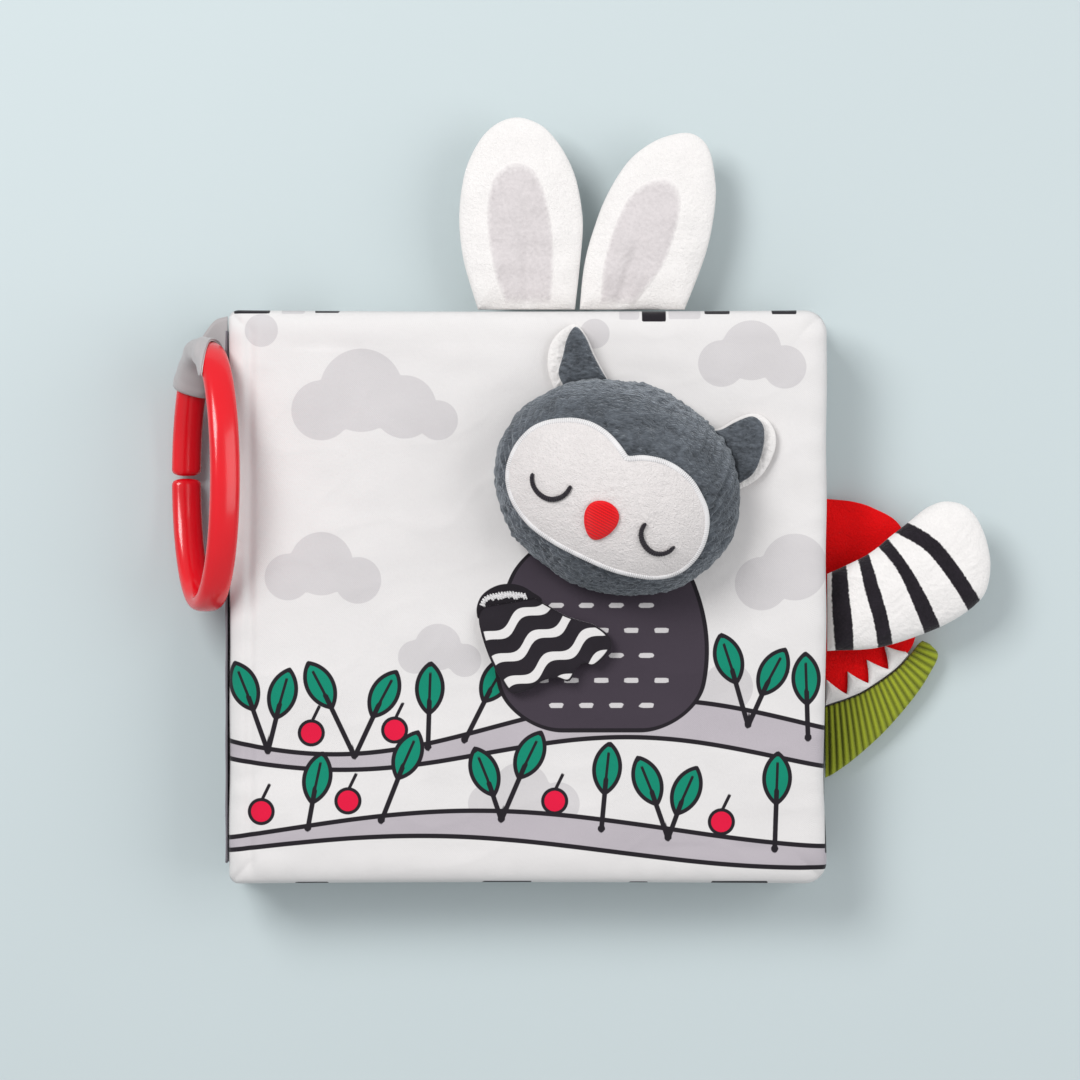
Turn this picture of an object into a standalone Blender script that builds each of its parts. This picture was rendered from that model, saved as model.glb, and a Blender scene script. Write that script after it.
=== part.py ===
"""Crinkle cloth book with a plush owl head, rabbit ears, a striped tail, a mouth and a link ring.

The book lies flat on its back cover. Z is up out of the front cover, Y is towards the rabbit
ears and X is towards the tail. The origin is the middle of the underside of the back cover.
"""

import math

import bmesh
import bpy

MM = 0.001

# Leaves: the front cover, one inner leaf and the back cover.
LEAF_WIDTH = 180.0
LEAF_HEIGHT = 172.5
LEAF_THICK = 10.0
LEAF_GAP = 0.5
CORNER_SPINE = 3.0
CORNER_FREE = 7.0
CORNER_STEPS = 3
CLOTH = 0.9
GAP = 0.3
FILM_THICK = 0.25
FILM_INSET = 14.0
# The rounded edge of a leaf as pairs of inset and share of the half thickness.
LEAF_EDGE = ((0.0, 0.0), (1.2, 0.5), (4.0, 0.84), (11.0, 1.0))

# Spine strips.
SPINE_THICK = 1.0
SPINE_LENGTH = 160.0
SPINE_LAP = 1.2

# Plush owl head on the front cover.
HEAD_CENTRE = (26.7, 33.0)
HEAD_TURN = -21.0
HEAD_HALF_WIDTH = 37.0
HEAD_HALF_LENGTH = 31.0
HEAD_RISE = 25.0
HEAD_MIDDLE = 5.0
HEAD_STEPS = 36
HEAD_RINGS = 9
PLUSH = 1.5
FACE_LOBES = ((-16.0, -2.4), (13.6, -3.8))
FACE_LOBE_RADIUS = 16.4
FACE_MIDDLE = (-1.2, -3.0)
FACE_STEPS = 36
FACE_THICK = 1.0
FACE_GAP = 0.55
FACE_SHARES = (1.0, 0.9, 0.74, 0.52, 0.28, 0.1)
NOSE_CENTRE = (-1.4, -11.5)
NOSE_HALF = (5.0, 6.0)
NOSE_RISE = 3.2
NOSE_STEPS = 16
EYE_CENTRES = {"left": (-18.8, -5.2), "right": (16.4, -7.6)}
EYE_RADIUS = 5.8
EYE_WIDTH = 1.6
EYE_THICK = 0.8
EYE_STEPS = 9
# Each owl ear: where its foot starts and ends round the head, in degrees, and its free edge.
OWL_EARS = {
    "left": {"back": (112, 138, ((-32.6, 26.5), (-33.8, 32.0), (-32.4, 37.2), (-29.2, 41.0),
                                 (-24.8, 38.9), (-20.6, 34.8))),
             "front": (113, 134, ((-29.0, 29.8), (-29.8, 36.2), (-28.6, 39.8), (-25.3, 38.2),
                                  (-21.0, 34.2)))},
    "right": {"back": (24, 56, ((25.8, 31.4), (30.2, 35.0), (34.9, 34.8), (38.6, 31.6),
                                (40.0, 26.4), (39.2, 19.6))),
              "front": (30, 55, ((26.2, 30.6), (30.1, 33.8), (33.6, 32.9), (35.8, 29.1),
                                 (36.6, 23.2)))},
}
OWL_EAR_STEPS = 4
OWL_EAR_CLEAR = 0.7
OWL_EAR_BACK = 2.4
OWL_EAR_FRONT = 3.4

# Wing flap on the front cover, from its sewn edge round.
WING = ((-14.4, -2.6), (-6.0, -1.7), (2.1, -0.4), (11.0, -5.4), (19.3, -8.2), (24.0, -11.2),
        (24.8, -16.2), (20.4, -20.4), (14.9, -20.8), (12.6, -25.2), (4.8, -24.8), (0.9, -27.4),
        (-5.0, -28.8), (-8.5, -23.8), (-13.2, -13.8), (-14.8, -7.0))
WING_TOP_THICK = 1.6
WING_LINING_THICK = 1.1

# Rabbit ears in the top seam of the inner leaf, measured from that edge.
EARS = {
    "left": ((-15.0, 0.6), (-19.5, 13.75), (-20.7, 28.75), (-15.5, 45.75), (-7.5, 56.75),
             (-2.4, 58.75), (3.5, 55.25), (12.0, 41.75), (16.2, 25.75), (15.8, 12.75), (14.0, 0.6)),
    "right": ((18.6, 0.6), (19.0, 12.75), (21.6, 25.75), (27.0, 37.75), (33.6, 46.75),
              (41.5, 52.75), (47.7, 53.75), (53.5, 47.25), (56.1, 35.75), (53.8, 18.75),
              (46.8, 0.6)),
}
EAR_PATCHES = {
    "left": ((-10.0, 5.25), (-12.0, 15.75), (-11.6, 27.75), (-7.5, 39.25), (-2.2, 45.25),
             (3.4, 39.75), (7.6, 27.75), (8.0, 15.75), (8.0, 5.25)),
    "right": ((24.6, 5.75), (27.0, 17.75), (31.0, 28.75), (36.5, 37.25), (42.0, 40.75),
              (46.0, 35.75), (46.8, 25.75), (45.0, 14.75), (42.0, 5.75)),
}
EAR_MIDDLES = {"left": (-2.0, 25.75), "right": (37.5, 25.75)}
EAR_HALF_THICK = 3.4
EAR_PATCH_THICK = 0.7
EAR_SHARES = ((1.0, 0.0), (0.96, 0.55), (0.88, 0.86), (0.8, 1.0))

# Striped tail in the free seam of the inner leaf, measured from that edge.
TAIL = ((0.6, 6.8), (12.6, 12.6), (19.5, 18.0), (25.2, 22.5), (31.0, 27.0), (36.6, 28.8),
        (43.0, 27.0), (47.6, 20.5), (50.0, 11.0), (49.0, 2.5), (45.6, -2.4), (38.5, -7.4),
        (29.0, -11.6), (15.6, -15.6), (0.6, -16.5))
TAIL_MIDDLE = (26.0, 4.0)
TAIL_HALF_THICK = 6.0
TAIL_WALL_SHARE = 0.91
TAIL_CORE_SHARE = 0.82
TAIL_SHARES = ((1.0, 0.0), (0.95, 0.5), (0.85, 0.8), (0.68, 0.95), (0.4, 1.0))

# Mouth in the free seam of the back cover, measured from that edge: lining, teeth and jaw.
MOUTH = ((0.6, 29.7), (9.0, 28.8), (15.6, 26.7), (23.0, 22.0), (27.0, 12.0), (28.6, 0.0),
         (28.0, -12.6), (25.2, -18.0), (21.0, -22.2), (12.6, -28.0), (7.0, -30.6),
         (0.6, -32.6))
MOUTH_MIDDLE = (13.0, -2.0)
MOUTH_THICK = 1.2
JAW_OUTER = ((0.6, -55.4), (3.4, -54.0), (9.6, -49.5), (18.6, -41.4), (27.6, -31.0),
             (32.6, -23.4), (35.0, -18.0), (32.6, -14.6))
JAW_INNER = ((0.6, -33.8), (3.2, -32.9), (7.6, -31.4), (13.2, -28.8), (21.8, -22.8),
             (26.2, -18.2), (28.8, -14.8), (30.2, -13.6))
JAW_SWELLS = (0.3, 0.8, 1.0, 1.0, 1.0, 0.9, 0.75, 0.4)
JAW_HALF = 2.8
TOOTH_THICK = 1.4
TOOTH_LONG = 7.4
TOOTH_SHORT = 0.8
TOOTH_COUNT = 4

# Link ring and its ribbon strap, measured from the bound edge.
RING_AWAY = 7.0
RING_Y = 36.2
RING_Z = 26.4
RING_TILT = 71.2
RING_HALF_LENGTH = 37.9
RING_HALF_SHORT = 22.3
RING_BAND = 2.75
RING_DEPTH = 4.5
RING_STEPS = 46
RING_SIDES = 10
RING_SPLIT = 0.6
RING_END_SHARES = ((0.0, 0.45), (0.35, 0.8), (1.1, 1.0))
STRAP_Y = 62.0
STRAP_WIDTH = 10.0
STRAP_THICK = 0.7
STRAP_HALF = (7.6, 5.4)
STRAP_SHIFT = -15.9
STRAP_STEPS = 20
TAB_THICK = 1.6
# The tab's two edges and its height at each station, from the spine to the ring.
TAB_STATIONS = (((1.65, 85.0), (1.65, 74.5), 5.6), ((5.0, 82.8), (3.4, 72.6), 4.7),
                ((8.4, 77.8), (5.4, 69.4), 3.6), ((10.8, 70.5), (7.0, 65.0), 2.4),
                ((11.4, 66.0), (8.0, 60.0), 1.7))

HALF = LEAF_THICK / 2
PITCH = LEAF_THICK + LEAF_GAP
BACK_Z = HALF
MIDDLE_Z = BACK_Z + PITCH
FRONT_Z = MIDDLE_Z + PITCH
COVER_TOP = FRONT_Z + HALF
LEAF_LEFT = -LEAF_WIDTH / 2
HINGE_X = LEAF_LEFT + 2 * SPINE_THICK
MIDDLE_PIVOT = (HINGE_X, 0.0, FRONT_Z - HALF - LEAF_GAP / 2)
FRONT_PIVOT = (HINGE_X, 0.0, FRONT_Z)
HEAD_BASE = COVER_TOP + GAP
HEAD_Z = HEAD_BASE + HEAD_MIDDLE
LEAF_RIGHT = LEAF_WIDTH / 2
LEAF_TOP = LEAF_HEIGHT / 2
RING_CENTRE = (LEAF_LEFT - RING_AWAY, RING_Y, RING_Z)
EAR_ROOT = LEAF_TOP + EARS["left"][0][1]
TAIL_ROOT = LEAF_RIGHT + TAIL[0][0]
MOUTH_ROOT = LEAF_RIGHT + MOUTH[0][0]

COLOURS = {
    "pale_cloth": (0.76, 0.73, 0.71),
    "print_cloth": (0.55, 0.51, 0.52),
    "foam": (0.86, 0.84, 0.76),
    "film": (0.80, 0.83, 0.86),
    "spine_cloth": (0.22, 0.20, 0.23),
    "slate_plush": (0.075, 0.085, 0.102),
    "stuffing": (0.88, 0.87, 0.84),
    "face_cloth": (0.76, 0.72, 0.70),
    "nose_cloth": (0.80, 0.0, 0.01),
    "thread": (0.012, 0.01, 0.013),
    "white_plush": (0.88, 0.85, 0.83),
    "inner_plush": (0.71, 0.66, 0.66),
    "wing_cloth": (0.03, 0.025, 0.03),
    "velour": (0.82, 0.0, 0.0),
    "felt": (0.86, 0.85, 0.83),
    "corduroy": (0.27, 0.35, 0.015),
    "ribbon": (0.50, 0.46, 0.46),
    "ring_plastic": (0.84, 0.006, 0.014),
}
ROUGHNESS = {"film": 0.3, "ring_plastic": 0.18}
CLOTH_ROUGHNESS = 0.9


def clear_scene():
    """Empties the file, so that the build always starts from nothing."""
    for item in list(bpy.data.objects):
        bpy.data.objects.remove(item, do_unlink=True)
    for item in list(bpy.data.meshes):
        bpy.data.meshes.remove(item)


def material(name, look):
    """A material of its own for one piece."""
    mat = bpy.data.materials.new(name)
    mat.use_nodes = True
    shader = mat.node_tree.nodes["Principled BSDF"]
    shader.inputs["Base Color"].default_value = (*COLOURS[look], 1.0)
    shader.inputs["Roughness"].default_value = ROUGHNESS.get(look, CLOTH_ROUGHNESS)
    mat.diffuse_color = (*COLOURS[look], 1.0)
    return mat


def add(name, look, rings, pivot=(0.0, 0.0, 0.0), loop=False):
    """One closed body skinned over rings of points, with its origin at the pivot."""
    size = len(rings[0])
    mesh = bpy.data.meshes.new(name)
    body = bmesh.new()
    verts = [[body.verts.new([(c - p) * MM for c, p in zip(point, pivot)]) for point in ring]
             for ring in rings]
    spans = list(zip(verts, verts[1:]))
    if loop:
        spans.append((verts[-1], verts[0]))
    for low, high in spans:
        for i in range(size):
            j = (i + 1) % size
            body.faces.new((low[i], low[j], high[j], high[i]))
    if not loop:
        for ring, points in ((verts[0], rings[0]), (verts[-1], rings[-1])):
            middle = [sum(p[k] for p in points) / size - pivot[k] for k in range(3)]
            tip = body.verts.new([c * MM for c in middle])
            for i in range(size):
                body.faces.new((ring[i], ring[(i + 1) % size], tip))
    bmesh.ops.recalc_face_normals(body, faces=body.faces)
    body.to_mesh(mesh)
    body.free()
    item = bpy.data.objects.new(name, mesh)
    item.location = [p * MM for p in pivot]
    mesh.materials.append(material(name, look))
    book.objects.link(item)
    return item


def leaf_outline(inset, z):
    """The outline of a leaf, drawn in by the inset, at one height."""
    points = []
    half_x = LEAF_WIDTH / 2 - inset
    half_y = LEAF_HEIGHT / 2 - inset
    for side_x, side_y, start in ((1, 1, 0), (-1, 1, 90), (-1, -1, 180), (1, -1, 270)):
        corner = CORNER_FREE if side_x > 0 else CORNER_SPINE
        radius = max(corner - inset, corner / 3)
        for step in range(CORNER_STEPS + 1):
            angle = math.radians(start + 90 * step / CORNER_STEPS)
            points.append((side_x * (half_x - radius) + radius * math.cos(angle),
                           side_y * (half_y - radius) + radius * math.sin(angle), z))
    return points


def scaled(outline, middle, share, z):
    """An outline drawn in towards its middle, at one height."""
    return [(middle[0] + (x - middle[0]) * share, middle[1] + (y - middle[1]) * share, z)
            for x, y in outline]


def leaf_cloth(name, look, level, side, pivot):
    """One cloth face of a leaf, a shallow tray that opens towards the other face."""
    outer = [leaf_outline(inset, level + side * (GAP / 2 + (HALF - GAP / 2) * rise))
             for inset, rise in LEAF_EDGE]
    inner = [leaf_outline(inset + CLOTH, level + side * (GAP / 2 + (HALF - CLOTH - GAP / 2) * rise))
             for inset, rise in LEAF_EDGE]
    return add(name, look, outer[::-1] + inner, pivot)


def leaf_core(name, level, pivot):
    """The foam sheet between the two cloth faces, lower on the side of the film."""
    inset = CLOTH + GAP
    low = HALF - CLOTH - GAP
    high = low - FILM_THICK - GAP
    rings = [leaf_outline(edge + inset, level - low * rise) for edge, rise in LEAF_EDGE[:0:-1]]
    rings += [leaf_outline(edge + inset, level + high * rise) for edge, rise in LEAF_EDGE[1:]]
    return add(name, "foam", rings, pivot)


def leaf_film(name, level, pivot):
    """The crinkle film over the foam."""
    top = level + HALF - CLOTH - GAP
    rings = [leaf_outline(FILM_INSET, z) for z in (top - FILM_THICK, top)]
    return add(name, "film", rings, pivot)


def leaf(name, level, upper, lower, pivot):
    """A whole leaf: two cloth faces, foam and crinkle film."""
    leaf_cloth(f"{name}_{upper}", "pale_cloth", level, 1, pivot)
    leaf_cloth(f"{name}_{lower}", "print_cloth", level, -1, pivot)
    leaf_core(f"{name}_foam", level, pivot)
    leaf_film(f"{name}_crinkle_film", level, pivot)


def spine(name, low, high, pivot):
    """A strip of cloth over the bound edges of two leaves."""
    near = LEAF_LEFT - GAP
    half = SPINE_LENGTH / 2
    rings = []
    for y in (-half, half):
        rings.append([(near, y, low), (near, y, high),
                      (near - SPINE_THICK, y, high - GAP), (near - SPINE_THICK, y, low + GAP)])
    return add(name, "spine_cloth", rings, pivot)


def head_to_world(u, v, z):
    """A point of the head's own drawing, turned and moved to its place on the cover."""
    turn = math.radians(HEAD_TURN)
    return (HEAD_CENTRE[0] + u * math.cos(turn) - v * math.sin(turn),
            HEAD_CENTRE[1] + u * math.sin(turn) + v * math.cos(turn), z)


def head_height(u, v, grow):
    """The height of the head's surface, grown outwards by a little."""
    flat = (u / (HEAD_HALF_WIDTH + grow)) ** 2 + (v / (HEAD_HALF_LENGTH + grow)) ** 2
    return HEAD_Z + (HEAD_RISE + grow) * math.sqrt(max(0.0, 1 - flat))


def head_rings(grow):
    """Rings of the stuffed head from its crown down to the cover."""
    rise = HEAD_RISE + grow
    last = math.acos((HEAD_BASE - HEAD_Z) / rise)
    rings = []
    for step in range(1, HEAD_RINGS + 1):
        slant = last * step / HEAD_RINGS
        ring = []
        for side in range(HEAD_STEPS):
            turn = 2 * math.pi * side / HEAD_STEPS
            u = (HEAD_HALF_WIDTH + grow) * math.sin(slant) * math.cos(turn)
            v = (HEAD_HALF_LENGTH + grow) * math.sin(slant) * math.sin(turn)
            ring.append(head_to_world(u, v, HEAD_Z + rise * math.cos(slant)))
        rings.append(ring)
    return rings


def head_patch(name, look, outline, middle, low, high, shares, crown):
    """A patch that follows the head, thicker in its middle by the crown."""
    under = []
    over = []
    for share in shares:
        bulge = crown * math.sqrt(max(0.0, 1 - share * share))
        points = [(u, v) for u, v, _ in scaled(outline, middle, share, 0)]
        under.append([head_to_world(u, v, head_height(u, v, low)) for u, v in points])
        over.append([head_to_world(u, v, head_height(u, v, high) + bulge) for u, v in points])
    return add(name, look, under[::-1] + over, FRONT_PIVOT)


def face_outline():
    """The edge of the two joined round lobes, seen from between them."""
    points = []
    for step in range(FACE_STEPS):
        turn = 2 * math.pi * step / FACE_STEPS
        ray = (math.cos(turn), math.sin(turn))
        reach = 0
        for lobe in FACE_LOBES:
            away = (lobe[0] - FACE_MIDDLE[0], lobe[1] - FACE_MIDDLE[1])
            along = ray[0] * away[0] + ray[1] * away[1]
            square = FACE_LOBE_RADIUS ** 2 - away[0] ** 2 - away[1] ** 2 + along ** 2
            reach = max(reach, along + math.sqrt(max(0.0, square)))
        points.append((FACE_MIDDLE[0] + ray[0] * reach, FACE_MIDDLE[1] + ray[1] * reach))
    return points


def owl_face():
    """The face patch, the nose and the two stitched eyes."""
    top = FACE_GAP + FACE_THICK
    head_patch("owl_face_patch", "face_cloth", face_outline(), FACE_MIDDLE, FACE_GAP, top,
               FACE_SHARES, 0)
    round_nose = []
    for step in range(NOSE_STEPS):
        turn = 2 * math.pi * step / NOSE_STEPS
        round_nose.append((NOSE_CENTRE[0] + NOSE_HALF[0] * math.cos(turn),
                           NOSE_CENTRE[1] + NOSE_HALF[1] * math.sin(turn)))
    head_patch("owl_nose", "nose_cloth", round_nose, NOSE_CENTRE, top + GAP,
               top + 2 * GAP, FACE_SHARES, NOSE_RISE)
    for side, centre in EYE_CENTRES.items():
        rings = []
        for step in range(EYE_STEPS):
            turn = math.radians(200 + 140 * step / (EYE_STEPS - 1))
            ring = []
            for reach, grow in ((0.5, 0), (0.5, EYE_THICK), (-0.5, EYE_THICK), (-0.5, 0)):
                radius = EYE_RADIUS + reach * EYE_WIDTH
                u = centre[0] + radius * math.cos(turn)
                v = centre[1] + radius * math.sin(turn)
                ring.append(head_to_world(u, v, head_height(u, v, top + GAP + grow)))
            rings.append(ring)
        add(f"owl_eye_stitch_{side}", "thread", rings, FRONT_PIVOT)


def padded(name, look, outline, middle, shares, level, half, pivot):
    """A flat stuffed piece, thickest in its middle and drawn in at its edge."""
    under = [scaled(outline, middle, share, level - half * rise) for share, rise in shares]
    over = [scaled(outline, middle, share, level + half * rise) for share, rise in shares[1:]]
    return add(name, look, under[::-1] + over, pivot)


def from_edge(outline, across, along_edge):
    """An outline that is measured from an edge of the leaf, moved to that edge."""
    return [(x + across, y + along_edge) for x, y in outline]


def middle_of(outline):
    """The mean of an outline's points."""
    return (sum(p[0] for p in outline) / len(outline), sum(p[1] for p in outline) / len(outline))


def owl_head():
    """The stuffed head with its face and its two ears."""
    shell = head_rings(0) + head_rings(-PLUSH)[::-1]
    add("owl_head_plush", "slate_plush", shell, FRONT_PIVOT)
    add("owl_head_stuffing", "stuffing", head_rings(-PLUSH - GAP), FRONT_PIVOT)
    owl_face()
    low = HEAD_BASE + OWL_EAR_BACK / 2
    high = low + OWL_EAR_BACK / 2 + GAP + OWL_EAR_FRONT / 2
    for side, layers in OWL_EARS.items():
        owl_ear(f"owl_ear_back_{side}", "white_plush", layers["back"], low, OWL_EAR_BACK / 2)
        owl_ear(f"owl_ear_front_{side}", "slate_plush", layers["front"], high,
                OWL_EAR_FRONT / 2)


def owl_ear(name, look, shape, level, half):
    """One layer of an ear: its foot follows the head and its free edge is given."""
    start, end, edge = shape
    foot = []
    for step in range(OWL_EAR_STEPS + 1):
        turn = math.radians(start + (end - start) * step / OWL_EAR_STEPS)
        foot.append(((HEAD_HALF_WIDTH + OWL_EAR_CLEAR) * math.cos(turn),
                     (HEAD_HALF_LENGTH + OWL_EAR_CLEAR) * math.sin(turn)))
    outline = [head_to_world(u, v, 0)[:2] for u, v in foot + list(edge)]
    padded(name, look, outline, middle_of(outline), EAR_SHARES, level, half, FRONT_PIVOT)


def wing_flap():
    """The loose flap below the head, its printed top and its lining."""
    pivot = (*WING[0], COVER_TOP + GAP)
    middle = middle_of(WING)
    low = COVER_TOP + GAP
    top = low + WING_LINING_THICK + GAP
    for name, look, start, thick in (("wing_flap_lining", "pale_cloth", low, WING_LINING_THICK),
                                     ("wing_flap_top", "wing_cloth", top, WING_TOP_THICK)):
        rings = [scaled(WING, middle, 1, z) for z in (start, start + thick)]
        add(name, look, rings, pivot)


def rabbit_ears():
    """Two plush ears in the top seam, each with an inner patch."""
    pivot = (0.0, EAR_ROOT, MIDDLE_Z)
    for side, drawing in EARS.items():
        outline = from_edge(drawing, 0, LEAF_TOP)
        middle = from_edge([EAR_MIDDLES[side]], 0, LEAF_TOP)[0]
        padded(f"rabbit_ear_plush_{side}", "white_plush", outline, middle, EAR_SHARES,
               MIDDLE_Z, EAR_HALF_THICK, pivot)
        patch = from_edge(EAR_PATCHES[side], 0, LEAF_TOP)
        low = MIDDLE_Z + EAR_HALF_THICK + GAP
        rings = [scaled(patch, middle, 1, z) for z in (low, low + EAR_PATCH_THICK)]
        add(f"rabbit_ear_patch_{side}", "inner_plush", rings, pivot)


def tail():
    """The stuffed tail: an upper and a lower plush face over the stuffing."""
    pivot = (TAIL_ROOT, 0.0, MIDDLE_Z)
    outline = from_edge(TAIL, LEAF_RIGHT, 0)
    middle = from_edge([TAIL_MIDDLE], LEAF_RIGHT, 0)[0]
    for name, side in (("tail_upper", 1), ("tail_lower", -1)):
        outer = []
        inner = []
        for share, rise in TAIL_SHARES:
            edge = GAP / 2
            outer.append(scaled(outline, middle, share,
                                MIDDLE_Z + side * (edge + (TAIL_HALF_THICK - edge) * rise)))
            depth = TAIL_HALF_THICK - PLUSH - edge
            inner.append(scaled(outline, middle, share * TAIL_WALL_SHARE,
                                MIDDLE_Z + side * (edge + depth * rise)))
        add(name, "white_plush", outer[::-1] + inner, pivot)
    core = [(share * TAIL_CORE_SHARE, rise) for share, rise in TAIL_SHARES]
    padded("tail_stuffing", "stuffing", outline, middle, core, MIDDLE_Z,
           TAIL_HALF_THICK - PLUSH - GAP, pivot)


def along(points, share):
    """The point at a share of the way along a row of points."""
    spot = share * (len(points) - 1)
    i = min(int(spot), len(points) - 2)
    part = spot - i
    return [a + (b - a) * part for a, b in zip(points[i], points[i + 1])]


def mouth():
    """The mouth: red lining, a strip of teeth and the ribbed crescent jaw."""
    pivot = (MOUTH_ROOT, 0.0, BACK_Z)
    half = MOUTH_THICK / 2
    outline = from_edge(MOUTH, LEAF_RIGHT, 0)
    middle = from_edge([MOUTH_MIDDLE], LEAF_RIGHT, 0)[0]
    rings = [scaled(outline, middle, 1, BACK_Z + rise) for rise in (-half, half)]
    add("mouth_lining", "velour", rings, pivot)
    low = BACK_Z + half + GAP
    jaw = []
    lip = from_edge(JAW_INNER, LEAF_RIGHT, 0)
    for outer, inner, swell in zip(from_edge(JAW_OUTER, LEAF_RIGHT, 0), lip, JAW_SWELLS):
        ring = []
        for part, rise in ((0, 0), (0.12, 0.8), (0.4, 1), (0.6, 1), (0.88, 0.8), (1, 0),
                           (0.88, -0.8), (0.6, -1), (0.4, -1), (0.12, -0.8)):
            ring.append((outer[0] + (inner[0] - outer[0]) * part,
                         outer[1] + (inner[1] - outer[1]) * part,
                         BACK_Z + JAW_HALF * swell * rise))
        jaw.append(ring)
    add("jaw_crescent", "corduroy", jaw, pivot)
    teeth = []
    for step in range(2 * TOOTH_COUNT + 1):
        base = along(lip[:6], step / (2 * TOOTH_COUNT))
        slant = math.radians(110 + 22 * step / (2 * TOOTH_COUNT))
        reach = TOOTH_LONG if step % 2 else TOOTH_SHORT
        foot = [base[0] + 2 * GAP * math.cos(slant), base[1] + 2 * GAP * math.sin(slant)]
        tip = [foot[0] + reach * math.cos(slant), foot[1] + reach * math.sin(slant)]
        foot[0] = max(foot[0], MOUTH_ROOT)
        tip[0] = max(tip[0], MOUTH_ROOT)
        teeth.append([(*foot, low), (*tip, low), (*tip, low + TOOTH_THICK),
                      (*foot, low + TOOTH_THICK)])
    add("tooth_strip", "felt", teeth, pivot)


def ring_point(short, y, deep):
    """A point given across the ring, along the book and through the ring's thickness."""
    tilt = math.radians(RING_TILT)
    return (RING_CENTRE[0] + short * math.cos(tilt) - deep * math.sin(tilt), y,
            RING_CENTRE[2] + short * math.sin(tilt) + deep * math.cos(tilt))


def link_ring():
    """The oval plastic link, split on its outer side, with rounded ends."""
    around = math.pi * (RING_HALF_LENGTH + RING_HALF_SHORT)
    stations = []
    for step in range(RING_STEPS + 1):
        stations.append((around * step / RING_STEPS, 1.0))
    first = [(RING_SPLIT / 2 + away, share) for away, share in RING_END_SHARES]
    last = [(around - away, share) for away, share in first[::-1]]
    rings = []
    for length, share in first + stations[1:-1] + last:
        turn = math.pi + 2 * math.pi * length / around
        short = RING_HALF_SHORT * math.cos(turn)
        y = RING_CENTRE[1] + RING_HALF_LENGTH * math.sin(turn)
        normal = (math.cos(turn) * RING_HALF_LENGTH, math.sin(turn) * RING_HALF_SHORT)
        size = math.hypot(*normal)
        ring = []
        for side in range(RING_SIDES):
            angle = 2 * math.pi * side / RING_SIDES
            out = RING_BAND * share * math.cos(angle)
            deep = RING_DEPTH * share * math.sin(angle)
            ring.append(ring_point(short + out * normal[0] / size, y + out * normal[1] / size,
                                   deep))
        rings.append(ring)
    add("link_ring", "ring_plastic", rings, RING_PIVOT)


def strap_layer(name, look, grow):
    """One layer of the ribbon that is folded round the ring."""
    rings = []
    for step in range(STRAP_STEPS):
        turn = 2 * math.pi * step / STRAP_STEPS
        ring = []
        for thick, side in ((0, -0.5), (STRAP_THICK, -0.5), (STRAP_THICK, 0.5), (0, 0.5)):
            short = STRAP_SHIFT + (STRAP_HALF[0] + grow + thick) * math.cos(turn)
            deep = (STRAP_HALF[1] + grow + thick) * math.sin(turn)
            ring.append(ring_point(short, STRAP_Y + side * STRAP_WIDTH, deep))
        rings.append(ring)
    add(name, look, rings, RING_PIVOT, loop=True)


def strap():
    """The folded ribbon: its tab on the spine, its outer layer and its pale inner layer."""
    strap_layer("ring_strap_lining", "felt", 0)
    strap_layer("ring_strap_loop", "ribbon", STRAP_THICK + GAP)
    rings = []
    half = TAB_THICK / 2
    for far, near, z in TAB_STATIONS:
        left, right = LEAF_LEFT - far[0], LEAF_LEFT - near[0]
        rings.append([(right, near[1], z - half), (left, far[1], z - half),
                      (left, far[1], z + half), (right, near[1], z + half)])
    add("ring_strap_tab", "ribbon", rings)


def build():
    """Makes every piece of the book."""
    leaf("front_cover", FRONT_Z, "panel", "lining", FRONT_PIVOT)
    leaf("middle_leaf", MIDDLE_Z, "front", "back", MIDDLE_PIVOT)
    leaf("back_cover", BACK_Z, "lining", "panel", (0.0, 0.0, 0.0))
    spine("spine_upper", MIDDLE_Z + GAP, FRONT_Z + SPINE_LAP, MIDDLE_PIVOT)
    spine("spine_lower", BACK_Z - SPINE_LAP, MIDDLE_Z - GAP, (0.0, 0.0, 0.0))
    owl_head()
    wing_flap()
    rabbit_ears()
    tail()
    mouth()
    link_ring()
    strap()


RING_PIVOT = ring_point(-RING_HALF_SHORT, 0.0, 0.0)
clear_scene()
book = bpy.data.collections.new("crinkle_cloth_book")
bpy.context.scene.collection.children.link(book)
build()
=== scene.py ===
import math

import bmesh
import bpy
import numpy as np
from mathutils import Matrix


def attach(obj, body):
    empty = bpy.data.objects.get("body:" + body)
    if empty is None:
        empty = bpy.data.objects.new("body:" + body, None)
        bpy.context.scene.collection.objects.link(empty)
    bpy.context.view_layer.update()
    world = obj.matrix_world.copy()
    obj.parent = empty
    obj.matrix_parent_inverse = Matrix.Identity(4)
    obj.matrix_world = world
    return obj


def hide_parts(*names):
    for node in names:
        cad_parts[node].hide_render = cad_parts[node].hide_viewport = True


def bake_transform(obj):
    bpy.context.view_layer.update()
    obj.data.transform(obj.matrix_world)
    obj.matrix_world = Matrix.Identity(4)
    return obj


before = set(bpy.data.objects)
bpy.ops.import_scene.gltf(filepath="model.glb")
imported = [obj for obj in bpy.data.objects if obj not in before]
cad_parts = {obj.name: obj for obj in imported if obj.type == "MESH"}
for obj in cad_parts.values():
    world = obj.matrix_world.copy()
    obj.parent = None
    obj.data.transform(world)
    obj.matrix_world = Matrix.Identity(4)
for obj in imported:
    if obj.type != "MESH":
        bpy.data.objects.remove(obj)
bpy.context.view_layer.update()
mm = 0.001
grade = 1  # which of two counts a settings row uses: coarse or full
fullTurn = 2 * math.pi
nowhere = 99.0  # the distance kept where a print is far away


# numbers and noise

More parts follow.
